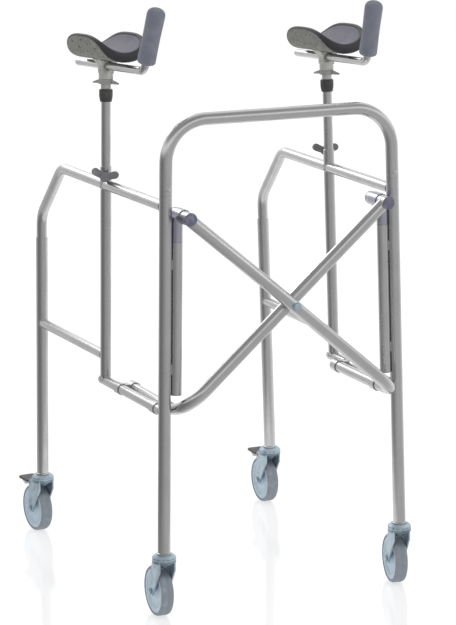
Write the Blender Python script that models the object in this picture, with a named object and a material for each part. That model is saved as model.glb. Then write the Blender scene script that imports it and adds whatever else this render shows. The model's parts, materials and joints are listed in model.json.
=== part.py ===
"""Forearm support walker: a folding tube frame on four casters, with two padded forearm troughs.

Metres, +Z up. The walker faces -Y, and its user stands at +Y between the two side frames.
Right and left are the user's: right is -X and left is +X. The origin is on the floor,
under the middle of the walker's bounding box.
"""

import math

import bmesh
import bpy
from mathutils import Matrix, Vector

RIGHT = -1
LEFT = 1
SIDE_NAMES = {RIGHT: "right", LEFT: "left"}

# Clearances
SEAT_GAP = 0.0003
RUNNING_GAP = 0.0003

# Frame layout, between tube axes: the side frames lean in at the top and spread towards the rear
POST_SPACING = 0.4975
FRAME_DEPTH = 0.672
SUPPORT_SETBACK = 0.3055
FRAME_LEAN = math.radians(1.3)
FRAME_SPREAD = math.radians(1.1)

# Tube stock
POST_DIAMETER = 0.025
RAIL_DIAMETER = 0.022
MID_RAIL_DIAMETER = 0.020
LOWER_RAIL_DIAMETER = 0.020
CROSS_LEG_DIAMETER = 0.022
INNER_TUBE_DIAMETER = 0.019
WALL = 0.0012

# Frame heights above the floor, at tube axes unless named otherwise
FRONT_POST_RISE = 0.0225
HOOP_RISE = 0.141
HOOP_CORNER_RADIUS = 0.082
SIDE_TUBE_HEIGHT = 0.8135
SLANT_RUN = 0.122
SLANT_DROP = 0.116
SIDE_TUBE_BEND_RADIUS = 0.055
REAR_POST_TOP = 0.648
SIDE_TUBE_INSERTION = 0.045
MID_RAIL_HEIGHT = 0.4645
LOWER_RAIL_HEIGHT = 0.4135
LOWER_RAIL_OVERHANG = 0.017
SPIGOT_INSERTION = 0.060
SPIGOT_STAND = 0.036
SCREW_HEAD_DIAMETER = 0.008
SCREW_HEAD_RISE = 0.012
SCREW_HEAD_STAND = 0.002

# Folding cross
PIVOT_INBOARD = 0.0232
CROSS_PIVOT_DROP = 0.001
STUB_INBOARD = 0.0325
STUB_HEIGHT = 0.794
CROSS_SETOFF = 0.032
CROSS_GAP = 0.001
CROSS_BEND_RADIUS = 0.065
CROSS_KINK_RADIUS = 0.150
CROSS_LEG_END = 0.240
STUB_FRONT_REACH = 0.0145
STUB_BACK = 0.030
CAP_THICKNESS = 0.0035
CAP_LIP = 0.0005
CAP_INSERTION = 0.010
BOLT_DIAMETER = 0.008
BOLT_HEAD_DIAMETER = 0.018
BOLT_HEAD_HEIGHT = 0.006

# Guides beside the front posts
GUIDE_BOTTOM = 0.4465
GUIDE_LOW_WELD_RISE = 0.0515
GUIDE_HIGH_WELD_DROP = 0.043
GUIDE_TOP_WELD_DROP = 0.010
GUIDE_WELD_LENGTH = 0.008
GUIDE_WELD_WIDTH = 0.006
GUIDE_WELD_DEPTH = 0.0024
ROD_DIAMETER = 0.018
ROD_LENGTH = 0.215
SADDLE_WALL = 0.002
SADDLE_LENGTH = 0.032
SADDLE_BOSS_DROP = 0.0487
ROD_SEAT_DEPTH = 0.012

# Pivot clamps that hold the cross legs to the lower rails
CLAMP_LENGTH = 0.022
CLAMP_WALL = 0.0022
CLAMP_FRONT_SETBACK = 0.046
CLAMP_REAR_SETBACK = 0.226

# Casters
WHEEL_DIAMETER = 0.100
WHEEL_WIDTH = 0.026
DISC_DIAMETER = 0.084
HUB_BOSS_DIAMETER = 0.026
DISC_RECESS = 0.003
TREAD_SHOULDER = 0.005
CASTER_TRAIL = 0.030
AXLE_DIAMETER = 0.008
AXLE_HEAD_DIAMETER = 0.014
AXLE_HEAD_HEIGHT = 0.004
FORK_PLATE = 0.003
FORK_SIDE_GAP = 0.0015
FORK_EYE_DIAMETER = 0.020
FORK_CROWN_GAP = 0.013
FORK_HEAD_DIAMETER = 0.047
FORK_HEAD_HEIGHT = 0.018
STEM_FLANGE = 0.0035
STEM_FLANGE_DIAMETER = 0.028
STEM_SEAT_DEPTH = 0.0005
STEM_INSERTION = 0.040
STEM_PIN_DIAMETER = 0.011

# Brake pedals on the rear casters
PEDAL_REACH = 0.086
PEDAL_WIDTH = 0.038
PEDAL_CORNER = 0.0055
PEDAL_PLATE = 0.004
PEDAL_PIVOT_SETBACK = 0.029
PEDAL_PIVOT_RISE = 0.0085
PEDAL_PIN_DIAMETER = 0.005
PEDAL_KNUCKLE_DIAMETER = 0.008
BRAKE_SHOE_DROP = 0.006
BRAKE_SHOE_LENGTH = 0.014

# Height clamps on the side tubes
SOCKET_DIAMETER = 0.0225
SOCKET_RISE = 0.0375
RIGHT_SCREW_RISE = 0.0188
LEFT_SCREW_RISE = 0.030
SCREW_DIAMETER = 0.006
BOSS_DIAMETER = 0.013
BOSS_REACH = 0.022
KNOB_DEPTH = 0.011
KNOB_EDGE = 0.0015
KNOB_HUB_DIAMETER = 0.019
KNOB_SPAN = 0.055
KNOB_LOBE_DIAMETER = 0.015
KNOB_LOBE_RISE = 0.008
KNOB_WING_THICKNESS = 0.006

# Arm supports, at mid height of their travel
SUPPORT_TUBE_BOTTOM = 0.640
SUPPORT_TUBE_TOP = 1.004
SWIVEL_PIN_DIAMETER = 0.012
SWIVEL_PIN_LENGTH = 0.024
BUSH_LENGTH = 0.025
BUSH_WALL = 0.0038
STEM_DIAMETER = 0.020
STEM_LENGTH = 0.031
COLLAR_DIAMETER = 0.029
HEAD_WIDTH = 0.025
HEAD_LENGTH = 0.024
HEAD_HEIGHT = 0.024
HEAD_FLARE = 0.008
CRADLE_WIDTH = 0.040
CRADLE_LENGTH = 0.044
CRADLE_HEIGHT = 0.005
CRADLE_LIP = 0.003
WING_RING_WALL = 0.0035
WING_RING_HEIGHT = 0.010
WING_RING_RISE = 0.010
WING_SPAN = 0.061
WING_THICKNESS = 0.0035

# Grip bars and grips
BAR_DIAMETER = 0.016
BAR_WALL = 0.0015
BAR_TILT = math.radians(2.6)
BAR_HEIGHT_IN_HEAD = 0.015
BAR_REAR_REACH = 0.147
BAR_FRONT_REACH = 0.198
BAR_BEND_RADIUS = 0.026
GRIP_LEAN = math.radians(19.0)
GRIP_DIAMETER = 0.036
GRIP_LENGTH = 0.112
GRIP_TOP_FILLET = 0.012
GRIP_END_WALL = 0.006

# Forearm troughs
TROUGH_LENGTH = 0.220
TROUGH_INNER_RADIUS = 0.0515
TROUGH_HALF_ANGLE = math.radians(71.0)
TROUGH_FLAT_ANGLE = math.radians(20.0)
TROUGH_SQUARENESS = 2.8
TROUGH_BASE_THICKNESS = 0.020
TROUGH_WING_THICKNESS = 0.008
TROUGH_EDGE_SHARE = 0.4
TROUGH_SETBACK = 0.0

RIGHT_SUPPORT_RAISE = 0.001
LEFT_SUPPORT_RAISE = -0.008
SCREW_DIRECTION = {RIGHT: math.radians(-27.0), LEFT: math.radians(171.0)}
KNOB_ROLL = {RIGHT: math.radians(9.0), LEFT: math.radians(-3.0)}
CASTER_TURN = {
    (RIGHT, "front"): 0.0,
    (RIGHT, "rear"): math.radians(6.5),
    (LEFT, "front"): math.radians(-9.0),
    (LEFT, "rear"): 0.0,
}
GRIP_ROLL = {RIGHT: math.radians(4.0), LEFT: 0.0}
WING_ANGLE = math.radians(-56.0)

POST_SIDES = 14
RAIL_SIDES = 12
SMALL_SIDES = 10
SEAT_SIDES = 48
WHEEL_SIDES = 20

# Worked out from the sizes above
FRONT_POST_TOP = SIDE_TUBE_HEIGHT + FRONT_POST_RISE
HOOP_HEIGHT = FRONT_POST_TOP + HOOP_RISE
CROSS_PIVOT_HEIGHT = LOWER_RAIL_HEIGHT - CROSS_PIVOT_DROP
SOCKET_TOP = SIDE_TUBE_HEIGHT + SOCKET_RISE
SCREW_HEIGHT = {RIGHT: SIDE_TUBE_HEIGHT + RIGHT_SCREW_RISE, LEFT: SIDE_TUBE_HEIGHT + LEFT_SCREW_RISE}
SUPPORT_RAISE = {RIGHT: RIGHT_SUPPORT_RAISE, LEFT: LEFT_SUPPORT_RAISE}
POST_RADIUS = POST_DIAMETER / 2
RAIL_RADIUS = RAIL_DIAMETER / 2
LOWER_RAIL_RADIUS = LOWER_RAIL_DIAMETER / 2
CROSS_LEG_RADIUS = CROSS_LEG_DIAMETER / 2
INNER_TUBE_RADIUS = INNER_TUBE_DIAMETER / 2
ROD_RADIUS = ROD_DIAMETER / 2
WHEEL_RADIUS = WHEEL_DIAMETER / 2
FORK_HEAD_BOTTOM = WHEEL_DIAMETER + FORK_CROWN_GAP
FORK_HEAD_TOP = FORK_HEAD_BOTTOM + FORK_HEAD_HEIGHT
POST_FOOT = FORK_HEAD_TOP + RUNNING_GAP + STEM_FLANGE - STEM_SEAT_DEPTH
FORK_INNER_HALF = WHEEL_WIDTH / 2 + FORK_SIDE_GAP
FORK_OUTER_HALF = FORK_INNER_HALF + FORK_PLATE
GUIDE_INBOARD = POST_RADIUS + SEAT_GAP + RAIL_RADIUS
CROSS_SETOFFS = {RIGHT: CROSS_SETOFF, LEFT: CROSS_SETOFF + POST_DIAMETER + CROSS_GAP}
CROSS_LOW_X = POST_SPACING / 2 - PIVOT_INBOARD
CROSS_HIGH_X = POST_SPACING / 2 - STUB_INBOARD - (STUB_HEIGHT - LOWER_RAIL_HEIGHT) * math.tan(FRAME_LEAN)
CROSS_RISE = STUB_HEIGHT - CROSS_PIVOT_HEIGHT
CROSS_CENTRE_HEIGHT = CROSS_PIVOT_HEIGHT + CROSS_RISE * CROSS_LOW_X / (CROSS_LOW_X + CROSS_HIGH_X)
GUIDE_TOP = STUB_HEIGHT - SADDLE_BOSS_DROP - RUNNING_GAP
GUIDE_WELD_HEIGHTS = (
    GUIDE_BOTTOM + GUIDE_LOW_WELD_RISE,
    GUIDE_TOP - GUIDE_HIGH_WELD_DROP,
    GUIDE_TOP - GUIDE_TOP_WELD_DROP,
)
BOLT_REACH = POST_RADIUS + SEAT_GAP + BOLT_HEAD_HEIGHT
FRONT_EXTENT = CROSS_SETOFFS[LEFT] + BOLT_REACH
REAR_TURN = max(abs(CASTER_TURN[RIGHT, "rear"]), abs(CASTER_TURN[LEFT, "rear"]))
PEDAL_EXTENT = PEDAL_REACH * math.cos(REAR_TURN) + (PEDAL_WIDTH / 2 - PEDAL_CORNER) * math.sin(REAR_TURN)
REAR_EXTENT = FRAME_DEPTH * math.cos(FRAME_SPREAD) + PEDAL_EXTENT
FRONT_Y = (FRONT_EXTENT - REAR_EXTENT) / 2
REAR_Y = FRONT_Y + FRAME_DEPTH
SUPPORT_Y = FRONT_Y + SUPPORT_SETBACK
HEAD_BOTTOM = SUPPORT_TUBE_TOP + RUNNING_GAP + STEM_LENGTH
HEAD_TOP = HEAD_BOTTOM + HEAD_HEIGHT
CRADLE_TOP = HEAD_TOP + CRADLE_HEIGHT
WING_RING_TOP = SUPPORT_TUBE_TOP + WING_RING_RISE + WING_RING_HEIGHT


def side_x(side, inboard=0.0):
    """World X of a point that lies inboard of a side frame's tube plane."""
    return side * (POST_SPACING / 2 - inboard)


def frame_matrix(side):
    """Leans and spreads a side frame that is drawn upright and square, about the front of its lower rail."""
    hub = Matrix.Translation((side_x(side), FRONT_Y, LOWER_RAIL_HEIGHT))
    spread = Matrix.Rotation(-side * FRAME_SPREAD, 4, "Z")
    lean = Matrix.Rotation(-side * FRAME_LEAN, 4, "Y")
    return hub @ spread @ lean @ hub.inverted()


def moved(mesh_data, matrix):
    """The same bmesh, moved by a matrix."""
    bmesh.ops.transform(mesh_data, matrix=matrix, verts=mesh_data.verts)
    return mesh_data


def in_frame(mesh_data, side):
    """The same bmesh, moved from its side frame's upright drawing to its place in the walker."""
    return moved(mesh_data, frame_matrix(side))


def around(radius, clearance, sides):
    """Corner radius of a many-sided hole whose flats clear a round piece all round."""
    return (radius + clearance) / math.cos(math.pi / sides)


def finish(name, colour, roughness, metallic):
    """A Principled BSDF material."""
    material = bpy.data.materials.new(name)
    material.use_nodes = True
    shader = material.node_tree.nodes["Principled BSDF"]
    shader.inputs["Base Color"].default_value = (*colour, 1.0)
    shader.inputs["Roughness"].default_value = roughness
    shader.inputs["Metallic"].default_value = metallic
    return material


def clear_scene():
    """Remove every object of the open file."""
    for old in list(bpy.data.objects):
        bpy.data.objects.remove(old, do_unlink=True)


def pivot(name, place, parent=None, side=None):
    """An empty on a joint's axis, which carries the pieces that move with it."""
    if side is not None:
        place = frame_matrix(side) @ Vector(place)
    empty = bpy.data.objects.new(name, None)
    bpy.context.collection.objects.link(empty)
    empty.empty_display_size = 0.02
    home = Vector(place)
    if parent is not None:
        empty.parent = parent
        home = home - Vector(parent["home"])
    empty.location = home
    empty["home"] = tuple(place)
    return empty


def piece(name, mesh_data, material, parent=None, smooth_angle=math.radians(35.0)):
    """A named object from a bmesh in world coordinates, carried by an empty where it moves."""
    bmesh.ops.recalc_face_normals(mesh_data, faces=mesh_data.faces)
    mesh = bpy.data.meshes.new(name)
    if parent is not None:
        home = Vector(parent["home"])
        bmesh.ops.translate(mesh_data, verts=mesh_data.verts, vec=-home)
    mesh_data.to_mesh(mesh)
    mesh_data.free()
    mesh.shade_smooth()
    mesh.set_sharp_from_angle(angle=smooth_angle)
    thing = bpy.data.objects.new(name, mesh)
    bpy.context.collection.objects.link(thing)
    if material is not None:
        mesh.materials.append(material)
    thing.parent = parent
    return thing


def carved(body, tool, operation):
    """The result of an exact Boolean of two bmeshes, which are used up."""
    target = piece("target", body, None)
    cutter = piece("cutter", tool, None)
    modifier = target.modifiers.new("carve", "BOOLEAN")
    modifier.operation = operation
    modifier.solver = "EXACT"
    modifier.object = cutter
    graph = bpy.context.evaluated_depsgraph_get()
    result = bmesh.new()
    result.from_mesh(target.evaluated_get(graph).to_mesh())
    for helper in (target, cutter):
        old = helper.data
        bpy.data.objects.remove(helper, do_unlink=True)
        bpy.data.meshes.remove(old)
    return result


def joined(*parts):
    """Several bmeshes welded into one body."""
    whole = parts[0]
    for part in parts[1:]:
        whole = carved(whole, part, "UNION")
    return whole


def drilled(body, *tools):
    """A bmesh with every tool cut out of it."""
    for tool in tools:
        body = carved(body, tool, "DIFFERENCE")
    return body


def rounded_path(corners, radii, steps):
    """Points of a path through corners, each inner corner rounded to an arc of its radius."""
    points = [Vector(corners[0])]
    for before, corner, after, radius in zip(corners, corners[1:], corners[2:], radii):
        back = (Vector(before) - Vector(corner)).normalized()
        ahead = (Vector(after) - Vector(corner)).normalized()
        half = back.angle(ahead) / 2
        inward = (back + ahead).normalized()
        centre = Vector(corner) + inward * (radius / math.sin(half))
        start = Vector(corner) + back * (radius / math.tan(half)) - centre
        turn = ahead.cross(back).normalized()
        sweep = math.pi - 2 * half
        for step in range(steps + 1):
            points.append(centre + Matrix.Rotation(sweep * step / steps, 3, turn) @ start)
    points.append(Vector(corners[-1]))
    return points


def tube(path, radius, wall, sides, up=(0.0, 1.0, 0.0)):
    """A tube swept along a path, with open ends, or a solid bar where wall is None.

    The radius is one for the whole path, or a list with one for each point.
    """
    outer_radii = radius if isinstance(radius, list) else [radius] * len(path)
    mesh_data = bmesh.new()
    normal = Vector(up)
    rings = []
    for index, point in enumerate(path):
        before = path[max(index - 1, 0)]
        after = path[min(index + 1, len(path) - 1)]
        into = (point - before).normalized() if index else (after - point).normalized()
        out = (after - point).normalized() if index < len(path) - 1 else into
        along = (into + out).normalized()
        stretch = 1 / max(math.cos(into.angle(out, 0.0) / 2), 0.5)
        bend = (out - into).normalized() if (out - into).length > 1e-6 else Vector((0, 0, 0))
        normal = (normal - along * normal.dot(along)).normalized()
        binormal = along.cross(normal)
        loops = []
        outer = outer_radii[index]
        for size in [outer] if wall is None else [outer, outer - wall]:
            loop = []
            for side in range(sides):
                angle = 2 * math.pi * (side + 0.5) / sides
                spoke = (normal * math.cos(angle) + binormal * math.sin(angle)) * size
                in_plane = bend - along * bend.dot(along)
                if in_plane.length > 1e-6:
                    in_plane.normalize()
                    spoke += in_plane * spoke.dot(in_plane) * (stretch - 1)
                loop.append(mesh_data.verts.new(point + spoke))
            loops.append(loop)
        rings.append(loops)
    for ring, following in zip(rings, rings[1:]):
        for loop, next_loop in zip(ring, following):
            for side in range(sides):
                other = (side + 1) % sides
                mesh_data.faces.new((loop[side], loop[other], next_loop[other], next_loop[side]))
    for ring in (rings[0], rings[-1]):
        if wall is None:
            mesh_data.faces.new(ring[0])
            continue
        outside, inside = ring
        for side in range(sides):
            other = (side + 1) % sides
            mesh_data.faces.new((outside[side], outside[other], inside[other], inside[side]))
    return mesh_data


def straight(start, end, radius, wall, sides, up=(0.0, 1.0, 0.0)):
    """A straight tube or bar between two points."""
    return tube([Vector(start), Vector(end)], radius, wall, sides, up)


def turned(profile, centre, axis, sides, phase=0.5):
    """A solid of revolution: profile holds (radius, distance along axis), and closes on itself."""
    along = Vector(axis).normalized()
    main_axis = max(range(3), key=lambda index: abs(along[index]))
    reference = Vector((0.0, 0.0, 0.0))
    reference[(main_axis + 2) % 3] = 1.0
    first = (reference - along * reference.dot(along)).normalized()
    second = along.cross(first)
    mesh_data = bmesh.new()
    loops = []
    for radius, distance in profile:
        base = Vector(centre) + along * distance
        if radius < 1e-7:
            loops.append([mesh_data.verts.new(base)])
            continue
        loop = []
        for side in range(sides):
            angle = 2 * math.pi * (side + phase) / sides
            spoke = first * math.cos(angle) + second * math.sin(angle)
            loop.append(mesh_data.verts.new(base + spoke * radius))
        loops.append(loop)
    for index, loop in enumerate(loops):
        following = loops[(index + 1) % len(loops)]
        if len(loop) == 1 and len(following) == 1:
            continue
        for side in range(sides):
            other = (side + 1) % sides
            if len(loop) == 1:
                mesh_data.faces.new((loop[0], following[other], following[side]))
            elif len(following) == 1:
                mesh_data.faces.new((loop[side], loop[other], following[0]))
            else:
                mesh_data.faces.new((loop[side], loop[other], following[other], following[side]))
    return mesh_data


def block(low, high):
    """A box between two corners."""
    mesh_data = bmesh.new()
    bmesh.ops.create_cube(mesh_data, size=1.0)
    size = Vector(high) - Vector(low)
    bmesh.ops.scale(mesh_data, verts=mesh_data.verts, vec=size)
    bmesh.ops.translate(mesh_data, verts=mesh_data.verts, vec=(Vector(low) + Vector(high)) / 2)
    return mesh_data


def prism(outline, depth_axis, start, end):
    """A flat outline pushed along X, Y or Z: the outline gives the two other coordinates."""
    mesh_data = bmesh.new()
    axis = "XYZ".index(depth_axis)
    rings = []
    for depth in (start, end):
        ring = []
        for first, second in outline:
            place = [first, second]
            place.insert(axis, depth)
            ring.append(mesh_data.verts.new(place))
        rings.append(ring)
    mesh_data.faces.new(rings[0])
    mesh_data.faces.new(rings[1])
    for index in range(len(outline)):
        other = (index + 1) % len(outline)
        mesh_data.faces.new((rings[0][index], rings[0][other], rings[1][other], rings[1][index]))
    return mesh_data


def arc(centre, radius, start, end, steps):
    """Points of a circular arc in a plane, angles in degrees."""
    points = []
    for step in range(steps + 1):
        angle = math.radians(start + (end - start) * step / steps)
        points.append((centre[0] + radius * math.cos(angle), centre[1] + radius * math.sin(angle)))
    return points


def loft(sections):
    """A solid through equal rectangles: each section is (centre, half width, half length)."""
    mesh_data = bmesh.new()
    rings = []
    for centre, half_width, half_length in sections:
        ring = []
        for x_sign, y_sign in ((-1, -1), (1, -1), (1, 1), (-1, 1)):
            corner = Vector(centre) + Vector((x_sign * half_width, y_sign * half_length, 0.0))
            ring.append(mesh_data.verts.new(corner))
        rings.append(ring)
    mesh_data.faces.new(rings[0])
    mesh_data.faces.new(rings[-1])
    for ring, following in zip(rings, rings[1:]):
        for index in range(4):
            other = (index + 1) % 4
            mesh_data.faces.new((ring[index], ring[other], following[other], following[index]))
    return mesh_data


def post_foot(side, y):
    """Where a post's foot stands once its frame leans: the caster's swivel axis is upright there."""
    return frame_matrix(side) @ Vector((side_x(side), y, POST_FOOT))


def build_post_tube(side, y, top):
    """A post, solid where its plug is pressed in, with the upright pin below that the caster swivels on."""
    outline = [
        (0.0, POST_FOOT),
        (POST_RADIUS, POST_FOOT),
        (POST_RADIUS, top),
        (POST_RADIUS - WALL, top),
        (POST_RADIUS - WALL, POST_FOOT + STEM_INSERTION),
        (0.0, POST_FOOT + STEM_INSERTION),
    ]
    post = turned(outline, (side_x(side), y, 0.0), (0.0, 0.0, 1.0), POST_SIDES)
    foot = post_foot(side, y)
    profile = [
        (0.0, FORK_HEAD_BOTTOM + RUNNING_GAP),
        (STEM_PIN_DIAMETER / 2, FORK_HEAD_BOTTOM + RUNNING_GAP),
        (STEM_PIN_DIAMETER / 2, FORK_HEAD_TOP + RUNNING_GAP),
        (STEM_FLANGE_DIAMETER / 2, FORK_HEAD_TOP + RUNNING_GAP),
        (STEM_FLANGE_DIAMETER / 2, FORK_HEAD_TOP + RUNNING_GAP + STEM_FLANGE),
        (0.0, FORK_HEAD_TOP + RUNNING_GAP + STEM_FLANGE),
    ]
    pin = turned(profile, (foot.x, foot.y, 0.0), (0.0, 0.0, 1.0), POST_SIDES)
    return joined(in_frame(post, side), pin)


def build_front_post(side, steel):
    """The front post, with the slider's guide tube welded beside it, and the hoop's spigot on the right."""
    x = side_x(side)
    post = build_post_tube(side, FRONT_Y, FRONT_POST_TOP)
    if side == RIGHT:
        # The spigot is pressed half a wall into the post. It stands clear of the hoop's leg.
        bottom = FRONT_POST_TOP - SPIGOT_INSERTION
        press_fit = straight((x, FRONT_Y, bottom), (x, FRONT_Y, FRONT_POST_TOP - SEAT_GAP),
                             POST_RADIUS - WALL / 2, WALL * 1.5, POST_SIDES)
        spigot = straight((x, FRONT_Y, bottom + SEAT_GAP), (x, FRONT_Y, FRONT_POST_TOP + SPIGOT_STAND),
                          POST_RADIUS - WALL - RUNNING_GAP, WALL, POST_SIDES)
        post = joined(post, in_frame(press_fit, side), in_frame(spigot, side))
    guide_x = side_x(side, GUIDE_INBOARD)
    foot = (guide_x, FRONT_Y, GUIDE_BOTTOM)
    guide = straight(foot, (guide_x, FRONT_Y, GUIDE_TOP), RAIL_RADIUS, WALL, RAIL_SIDES)
    weld_x = side_x(side, POST_RADIUS + SEAT_GAP / 2)
    half_size = Vector((GUIDE_WELD_DEPTH, GUIDE_WELD_WIDTH, GUIDE_WELD_LENGTH)) / 2
    welds = []
    for height in GUIDE_WELD_HEIGHTS:
        middle = Vector((weld_x, FRONT_Y, height))
        welds.append(in_frame(block(middle - half_size, middle + half_size), side))
    post = joined(post, welds[0], in_frame(guide, side), *welds[1:])
    return piece(f"{SIDE_NAMES[side]}_front_post", post, steel)


def build_rear_post(side, steel):
    """The rear post, whose open top takes the side tube."""
    return piece(f"{SIDE_NAMES[side]}_rear_post", build_post_tube(side, REAR_Y, REAR_POST_TOP), steel)


def build_side_tube(side, steel):
    """The upper side tube, bent down into the rear post, with its height clamp welded on."""
    x = side_x(side)
    corners = [
        (x, FRONT_Y, SIDE_TUBE_HEIGHT),
        (x, REAR_Y - SLANT_RUN, SIDE_TUBE_HEIGHT),
        (x, REAR_Y, SIDE_TUBE_HEIGHT - SLANT_DROP),
        (x, REAR_Y, REAR_POST_TOP - SIDE_TUBE_INSERTION),
    ]
    path = rounded_path(corners, [SIDE_TUBE_BEND_RADIUS] * 2, 3)
    body = tube(path, RAIL_RADIUS, WALL, RAIL_SIDES, up=(1.0, 0.0, 0.0))
    body = drilled(body, post_cutter(x, FRONT_Y, POST_RADIUS))
    foot = (x, SUPPORT_Y, SIDE_TUBE_HEIGHT)
    socket = straight(foot, (x, SUPPORT_Y, SOCKET_TOP), SOCKET_DIAMETER / 2, None, RAIL_SIDES)
    boss = screw_bar(side, INNER_TUBE_RADIUS, BOSS_REACH, BOSS_DIAMETER / 2)
    bore = bore_cutter(x, SIDE_TUBE_HEIGHT - RAIL_DIAMETER, SOCKET_TOP + RAIL_DIAMETER)
    screw_hole = screw_bar(side, 0.0, BOSS_REACH * 2, around(SCREW_DIAMETER / 2, RUNNING_GAP, SMALL_SIDES))
    body = drilled(joined(body, socket, boss), bore, screw_hole)
    return piece(f"{SIDE_NAMES[side]}_side_tube", in_frame(body, side), steel)


def screw_turn(side):
    """Turns what is drawn in front of the support tube to the side that the clamp's screw comes from."""
    hub = Matrix.Translation((side_x(side), SUPPORT_Y, SCREW_HEIGHT[side]))
    return hub @ Matrix.Rotation(SCREW_DIRECTION[side], 4, "Z") @ hub.inverted()


def screw_bar(side, start, end, radius):
    """A solid bar on the clamp screw's axis, between two distances from the support tube's axis."""
    near = (side_x(side), SUPPORT_Y - start, SCREW_HEIGHT[side])
    far = (side_x(side), SUPPORT_Y - end, SCREW_HEIGHT[side])
    return moved(straight(near, far, radius, None, SMALL_SIDES, up=(0.0, 0.0, 1.0)), screw_turn(side))


def post_cutter(x, y, radius):
    """Cutter that copes a tube's end to an upright post."""
    clear = around(radius, SEAT_GAP, POST_SIDES)
    return straight((x, y, POST_FOOT), (x, y, FRONT_POST_TOP + RAIL_DIAMETER), clear, None, POST_SIDES)


def bore_cutter(x, bottom, top):
    """Cutter for the bore that the support tube slides in, its flats in line with the tube's."""
    radius = INNER_TUBE_RADIUS + RUNNING_GAP
    return straight((x, SUPPORT_Y, bottom), (x, SUPPORT_Y, top), radius, None, RAIL_SIDES)


def rail_cutter(x, height, radius):
    """Cutter that copes an upright tube's end to a rail that runs front to back."""
    clear = around(radius, SEAT_GAP, RAIL_SIDES)
    return straight((x, FRONT_Y, height), (x, REAR_Y, height), clear, None, RAIL_SIDES, up=(1.0, 0.0, 0.0))


def build_strut(side, steel):
    """The upright between the lower rail and the side tube, which guides the support tube."""
    x = side_x(side)
    foot = (x, SUPPORT_Y, LOWER_RAIL_HEIGHT)
    strut = straight(foot, (x, SUPPORT_Y, SIDE_TUBE_HEIGHT), RAIL_RADIUS, WALL, RAIL_SIDES)
    lower = rail_cutter(x, LOWER_RAIL_HEIGHT, LOWER_RAIL_RADIUS)
    strut = drilled(strut, lower, rail_cutter(x, SIDE_TUBE_HEIGHT, RAIL_RADIUS))
    return piece(f"{SIDE_NAMES[side]}_strut", in_frame(strut, side), steel)


def build_mid_rail(side, steel):
    """The short rail from the strut back to the rear post."""
    x = side_x(side)
    front = (x, SUPPORT_Y, MID_RAIL_HEIGHT)
    back = (x, REAR_Y, MID_RAIL_HEIGHT)
    rail = straight(front, back, MID_RAIL_DIAMETER / 2, WALL, RAIL_SIDES, up=(1.0, 0.0, 0.0))
    rail = drilled(rail, post_cutter(x, REAR_Y, POST_RADIUS), post_cutter(x, SUPPORT_Y, RAIL_RADIUS))
    return piece(f"{SIDE_NAMES[side]}_mid_rail", in_frame(rail, side), steel)


def build_lower_rail(side, steel):
    """The rail from the front post back under the strut."""
    x = side_x(side)
    front = (x, FRONT_Y, LOWER_RAIL_HEIGHT)
    back = (x, SUPPORT_Y + LOWER_RAIL_OVERHANG, LOWER_RAIL_HEIGHT)
    rail = straight(front, back, LOWER_RAIL_RADIUS, WALL, RAIL_SIDES, up=(1.0, 0.0, 0.0))
    rail = drilled(rail, post_cutter(x, FRONT_Y, POST_RADIUS))
    return piece(f"{SIDE_NAMES[side]}_lower_rail", in_frame(rail, side), steel)


def lengthwise(x, z, start, end, radius, sides):
    """A solid round bar that runs front to back."""
    return straight((x, start, z), (x, end, z), radius, None, sides, up=(1.0, 0.0, 0.0))


def build_pivot_clamp(side, place, setback, steel):
    """A clamp that holds the cross tube's lower leg beside the lower rail."""
    leg_x = side * CROSS_LOW_X
    rail_x = side_x(side)
    rail_radius = LOWER_RAIL_RADIUS + CLAMP_WALL
    leg_radius = CROSS_LEG_RADIUS + CLAMP_WALL
    start = FRONT_Y + setback - CLAMP_LENGTH / 2
    end = start + CLAMP_LENGTH
    web_bottom = CROSS_PIVOT_HEIGHT - leg_radius * 0.7
    web_top = LOWER_RAIL_HEIGHT + rail_radius * 0.7
    web = block((min(rail_x, leg_x), start, web_bottom), (max(rail_x, leg_x), end, web_top))
    rail_ring = lengthwise(rail_x, LOWER_RAIL_HEIGHT, start, end, rail_radius, RAIL_SIDES)
    leg_ring = lengthwise(leg_x, CROSS_PIVOT_HEIGHT, start, end, leg_radius, POST_SIDES)
    past = (start - CLAMP_LENGTH, end + CLAMP_LENGTH)
    rail_hole = lengthwise(rail_x, LOWER_RAIL_HEIGHT, *past, LOWER_RAIL_RADIUS + SEAT_GAP, RAIL_SIDES)
    leg_bore = around(CROSS_LEG_RADIUS, RUNNING_GAP, POST_SIDES)
    leg_hole = lengthwise(leg_x, CROSS_PIVOT_HEIGHT, *past, leg_bore, POST_SIDES)
    body = joined(in_frame(rail_ring, side), web, leg_ring)
    body = drilled(body, in_frame(rail_hole, side), leg_hole)
    return piece(f"{SIDE_NAMES[side]}_{place}_pivot_clamp", body, steel)


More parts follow.
